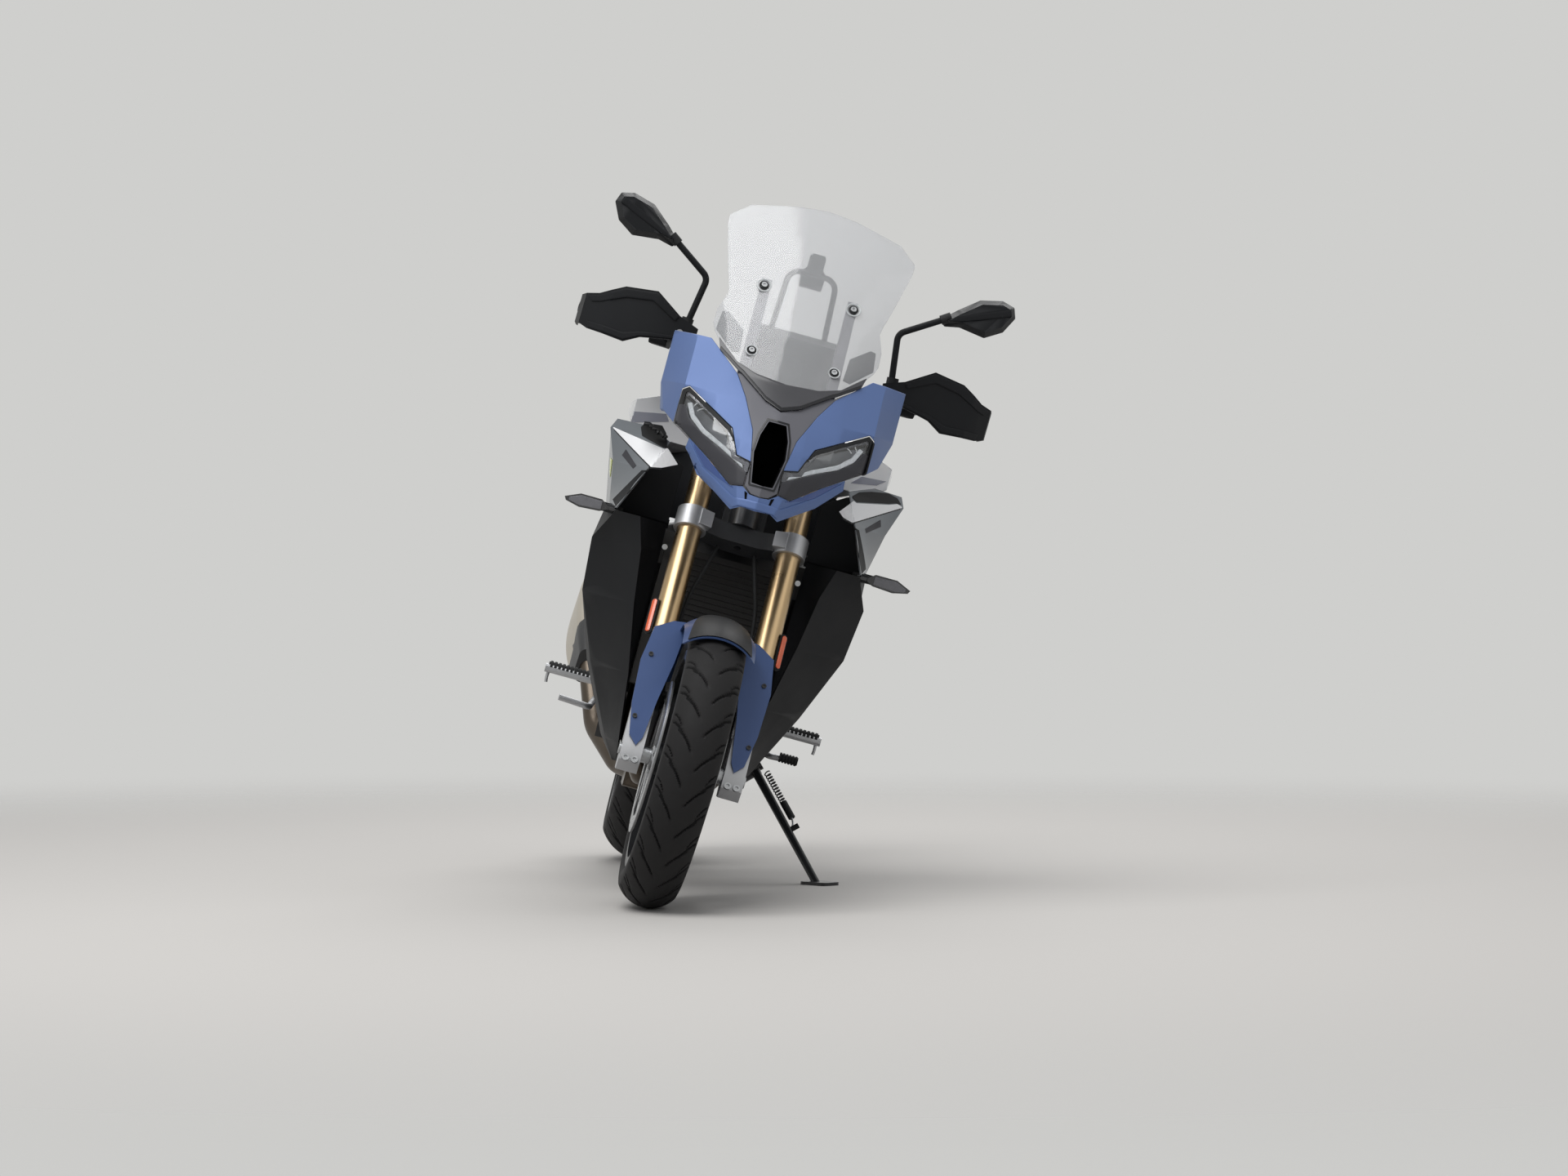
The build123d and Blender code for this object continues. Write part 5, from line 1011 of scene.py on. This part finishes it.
# grey-blue stripe lacquer on the tank, as glossy as the white round it
stripe_lacquer = material("grey_blue_lacquer", "9EA0AC", 2.2, 0.004, (0.22, 0.30), ("999BA8", "A4A6B1"), 120,
    coat_weight=0.5, coat_roughness=0.06)
# yellow lacquer accent on the right side panel
yellow_lacquer = material("yellow_accent_lacquer", "D3DC4E", 2.2, 0.004, (0.22, 0.30), ("CDD648", "D8E058"), 60,
    coat_weight=0.5, coat_roughness=0.06)
signal_front = surface_of("turn_signals")
fairing_front = surface_of("side_fairings")
tank_front = surface_of("tank_cover")
SEAM_WIDTH = 3.5
for word, near, far in (
        ("right", [(-167, 897), (-196, 924), (-204, 921.6), (-222, 924.6), (-318, 942)],
            [(-167, 897), (-197.6, 881.6), (-220, 877), (-318, 940)]),
        ("left", [(185, 892), (210, 923), (217.5, 920), (290, 938), (308, 945), (320, 942)],
            [(185, 892), (196.5, 882.5), (218, 877), (320, 940)])):
    band(f"white_facet_{word}", near, far, fairing_front, 1.6, 1.8, 60, 8, 0.0, white_lacquer, "white_panel")
    seam = far[1:-1] + [(far[-1][0] * 0.99, far[-1][1] - 1)]
    band(f"facet_seam_{word}", seam, [(x, z - SEAM_WIDTH) for x, z in seam], fairing_front, 1.2, 1.6, 60, 2, 0.0,
        gloss_black)
for word, near, far in (
        ("right", [(-262, 956), (-257, 963), (-220, 967), (-208, 954), (-197.5, 925)],
            [(-262, 955), (-255, 938), (-207, 924), (-197.5, 924.5)]),
        ("left", [(206, 933), (219, 944), (245, 953), (283, 961), (305, 957), (316, 947)],
            [(206, 929), (211, 926), (218, 923), (290, 940), (306, 946), (316, 946)])):
    band(f"air_scoop_{word}", near, far, fairing_front, 2.0, 3.0, 60, 8, 0.8, satin_black)
for side, word in SIDES:
    side_bands(side, word, (
        ("panel_border", ((224, 869), (269, 779)), ((237, 866), (279, 793)), fairing_front, 0.8, 1.4, 40, 3, 0.0,
            grained_abs),
        ("panel_vent", ((280, 902), (250, 873)), ((285, 888), (255, 865)), fairing_front, 0.8, 1.2, 20, 4, 0.0,
            dark_abs)))
flank = tree_of("side_fairings")


def beside(y, z):
    """Point just outside the right side panel."""
    hit = flank.ray_cast(Vector((-900, y, z)), Vector((1, 0, 0)))[0]
    return (hit.x - 0.3 if hit else -300.0, y, z)


accent = plate("yellow_accent_right", [beside(*at) for at in ((-400, 874), (-330, 880), (-324, 850), (-372, 838))],
    (-0.8, 0, 0), 0.2)
settle(accent, "chassis", yellow_lacquer)
for word, near, far in (("right", [(-284, 966), (-206, 989)], [(-286, 990), (-216, 1004)]),
        ("left", [(206, 966), (262, 976)], [(226, 986), (280, 990)])):
    band(f"tank_stripe_{word}", near, far, tank_front, 0.6, 0.8, 30, 6, 0.0, stripe_lacquer, "silver_casting")
PANEL_SEAM = ((150, -404, 764), (300, -404, 764), (300, -404, 784), (150, -404, 784))
SIGNAL_STALK = ((252, -472, 771.5), (287, -472, 771.5))
for side, word in SIDES:
    seam_trim = plate(f"panel_seam_trim_{word}", sided(side, PANEL_SEAM), (0, 3, 0), 0.4)
    settle(seam_trim, "chassis", grained_abs)
    band(f"screen_deflector_{word}", sided(side, ((110, 1146), (114, 1194), (152, 1224))),
        sided(side, ((126, 1143), (168, 1182), (164, 1222))), screen_front, -9.0, 3.0, 24, 6, 0.5, smoked_cover,
        "clear_screen")
    rubber_boot(f"signal_stalk_boot_{word}", sided(side, SIGNAL_STALK), 9.0, "chassis")
    band(f"signal_lens_{word}", sided(side, ((298, 764), (344, 761), (368, 766))),
        sided(side, ((298, 782), (344, 783), (368, 773))), signal_front, 3.0, 3.0, 30, 6, 0.8, signal_grey,
        "red_lens")

# ---------------------------------------------------------------- foot rests, levers and stand
PEG = Vector((0, 176, 404))             # axis of the rider's rests
TOE_PEG = Vector((0, 4, 348))           # axis of the gear lever's peg
for side, word in SIDES:
    sleeve = lathe(f"peg_rubber_{word}", sided(side, ribbed(204, 12, 9.4, 6, 14.0, 11.5)), PEG, 32)
    smooth(sleeve, 30)
    settle(sleeve, "chassis", black_rubber)
    feeler = rod(f"peg_feeler_{word}", sided(side, ((312, 176, 396), (316, 176, 384), (313, 176, 368))), 3.6)
    settle(feeler, "chassis", bright_casting)
toe = lathe("gear_lever_rubber", ribbed(232, 6, 7, 4.5, 11.0, 9.0), TOE_PEG, 28)
smooth(toe, 30)
settle(toe, "chassis", black_rubber)

# return spring of the stand in its rubber sleeve, its hook, and the knob for the rider's foot
STAND_HINGE = Vector((186, 60, 308))
STAND_FOOT = Vector((381, -100, 104))
SPRING_TURNS, SPRING_LENGTH, SPRING_RADIUS, STEPS_A_TURN = 12, 92, 6.5, 12
leg = (STAND_FOOT - STAND_HINGE).normalized()
outward = leg.cross(Vector((0, 1, 0))).normalized()
if outward.x < 0:
    outward = -outward
sideways = leg.cross(outward)
start = STAND_HINGE + leg * 26 + outward * 21
coil = []
for i in range(SPRING_TURNS * STEPS_A_TURN + 1):
    turn = 2 * math.pi * i / STEPS_A_TURN
    coil.append(start + leg * (i / (SPRING_TURNS * STEPS_A_TURN) * SPRING_LENGTH)
        + (outward * math.cos(turn) + sideways * math.sin(turn)) * SPRING_RADIUS)
for name, line, radius, finish, slot, shape in (
        ("stand_spring", coil, 1.5, black_casting, "steel", {"sides": 3}),
        ("stand_spring_sleeve", [start + leg * 84, start + leg * 128], 8.0, black_rubber, "rubber", {"tight": True}),
        ("stand_spring_hook", [start + leg * 120, start + leg * 146, start + leg * 152 - outward * 16], 2.2,
            zinc_steel, "steel", {}),
        ("stand_knob", [STAND_HINGE + leg * 178, STAND_HINGE + leg * 178 + outward * 26], 6.0, black_rubber, "rubber",
            {"tight": True})):
    settle(rod(name, line, radius, **shape), "side_stand", finish)

# ---------------------------------------------------------------- engine covers
for side, word, y, z, reach, face in ((1, "generator", -150, 446, 44, 192), (-1, "clutch", -118, 452, 50, 194)):
    ring = [(side * face, y + reach * math.cos(i * math.pi / 3), z + reach * math.sin(i * math.pi / 3))
        for i in range(6)]
    bolts(f"{word}_cover_bolts", ring, (side, 0, 0), 5, 4, "chassis")

# ---------------------------------------------------------------- dash and phone cradle
DISPLAY_CENTRE = Vector((0, -600, 1176))
CORNER_RADIUS = 8
tilt = Vector((0, 0.82, 0.57)).normalized()
down = tilt.cross(Vector((1, 0, 0)))
display_edge = []
for corner_x, corner_y, first in ((76, 40, 0), (-76, 40, 1), (-76, -40, 2), (76, -40, 3)):
    for i in range(7):
        turn = math.radians(first * 90 + i * 15)
        display_edge.append(DISPLAY_CENTRE + Vector((1, 0, 0)) * (corner_x + CORNER_RADIUS * math.cos(turn))
            + down * (corner_y + CORNER_RADIUS * math.sin(turn)))
display = plate("dash_display", display_edge, tilt * 1.2, 0.3)
settle(display, "chassis", display_glass)
cradle = plate("phone_cradle", [(x, -590, z) for x, z in ((-24, 1322), (24, 1322), (26, 1356), (17, 1364), (17, 1392),
    (-17, 1392), (-17, 1364), (-26, 1356))], (0, 18, 0), 3.0, 3)
settle(cradle, "chassis", grained_abs)

# ---------------------------------------------------------------- padded seats
CLOTH_GRID = 0.006          # metres between the cover's points
STUFFING_PRESSURE = 4.0
STUFFING_STEPS = 20
LARGEST_SWELL = 0.007       # metres the cover may rise from the seat's plain shape
seat = dressed("seats", seat_vinyl, 0.0)
applied(seat, "REMESH", mode="VOXEL", voxel_size=CLOTH_GRID)
rest = [corner.co.copy() for corner in seat.data.vertices]
stuffing = seat.modifiers.new("stuffing", "CLOTH")
stuffing.settings.use_pressure = True
stuffing.settings.uniform_pressure_force = STUFFING_PRESSURE
stuffing.settings.effector_weights.gravity = 0.0
for step in range(1, STUFFING_STEPS + 1):
    bpy.context.scene.frame_set(step)
alone(seat)
bpy.ops.object.modifier_apply(modifier="stuffing")
bpy.context.scene.frame_set(1)
for corner, before in zip(seat.data.vertices, rest):
    swell = corner.co - before
    if swell.length > LARGEST_SWELL:
        corner.co = before + swell.normalized() * LARGEST_SWELL
smooth(seat, 60)
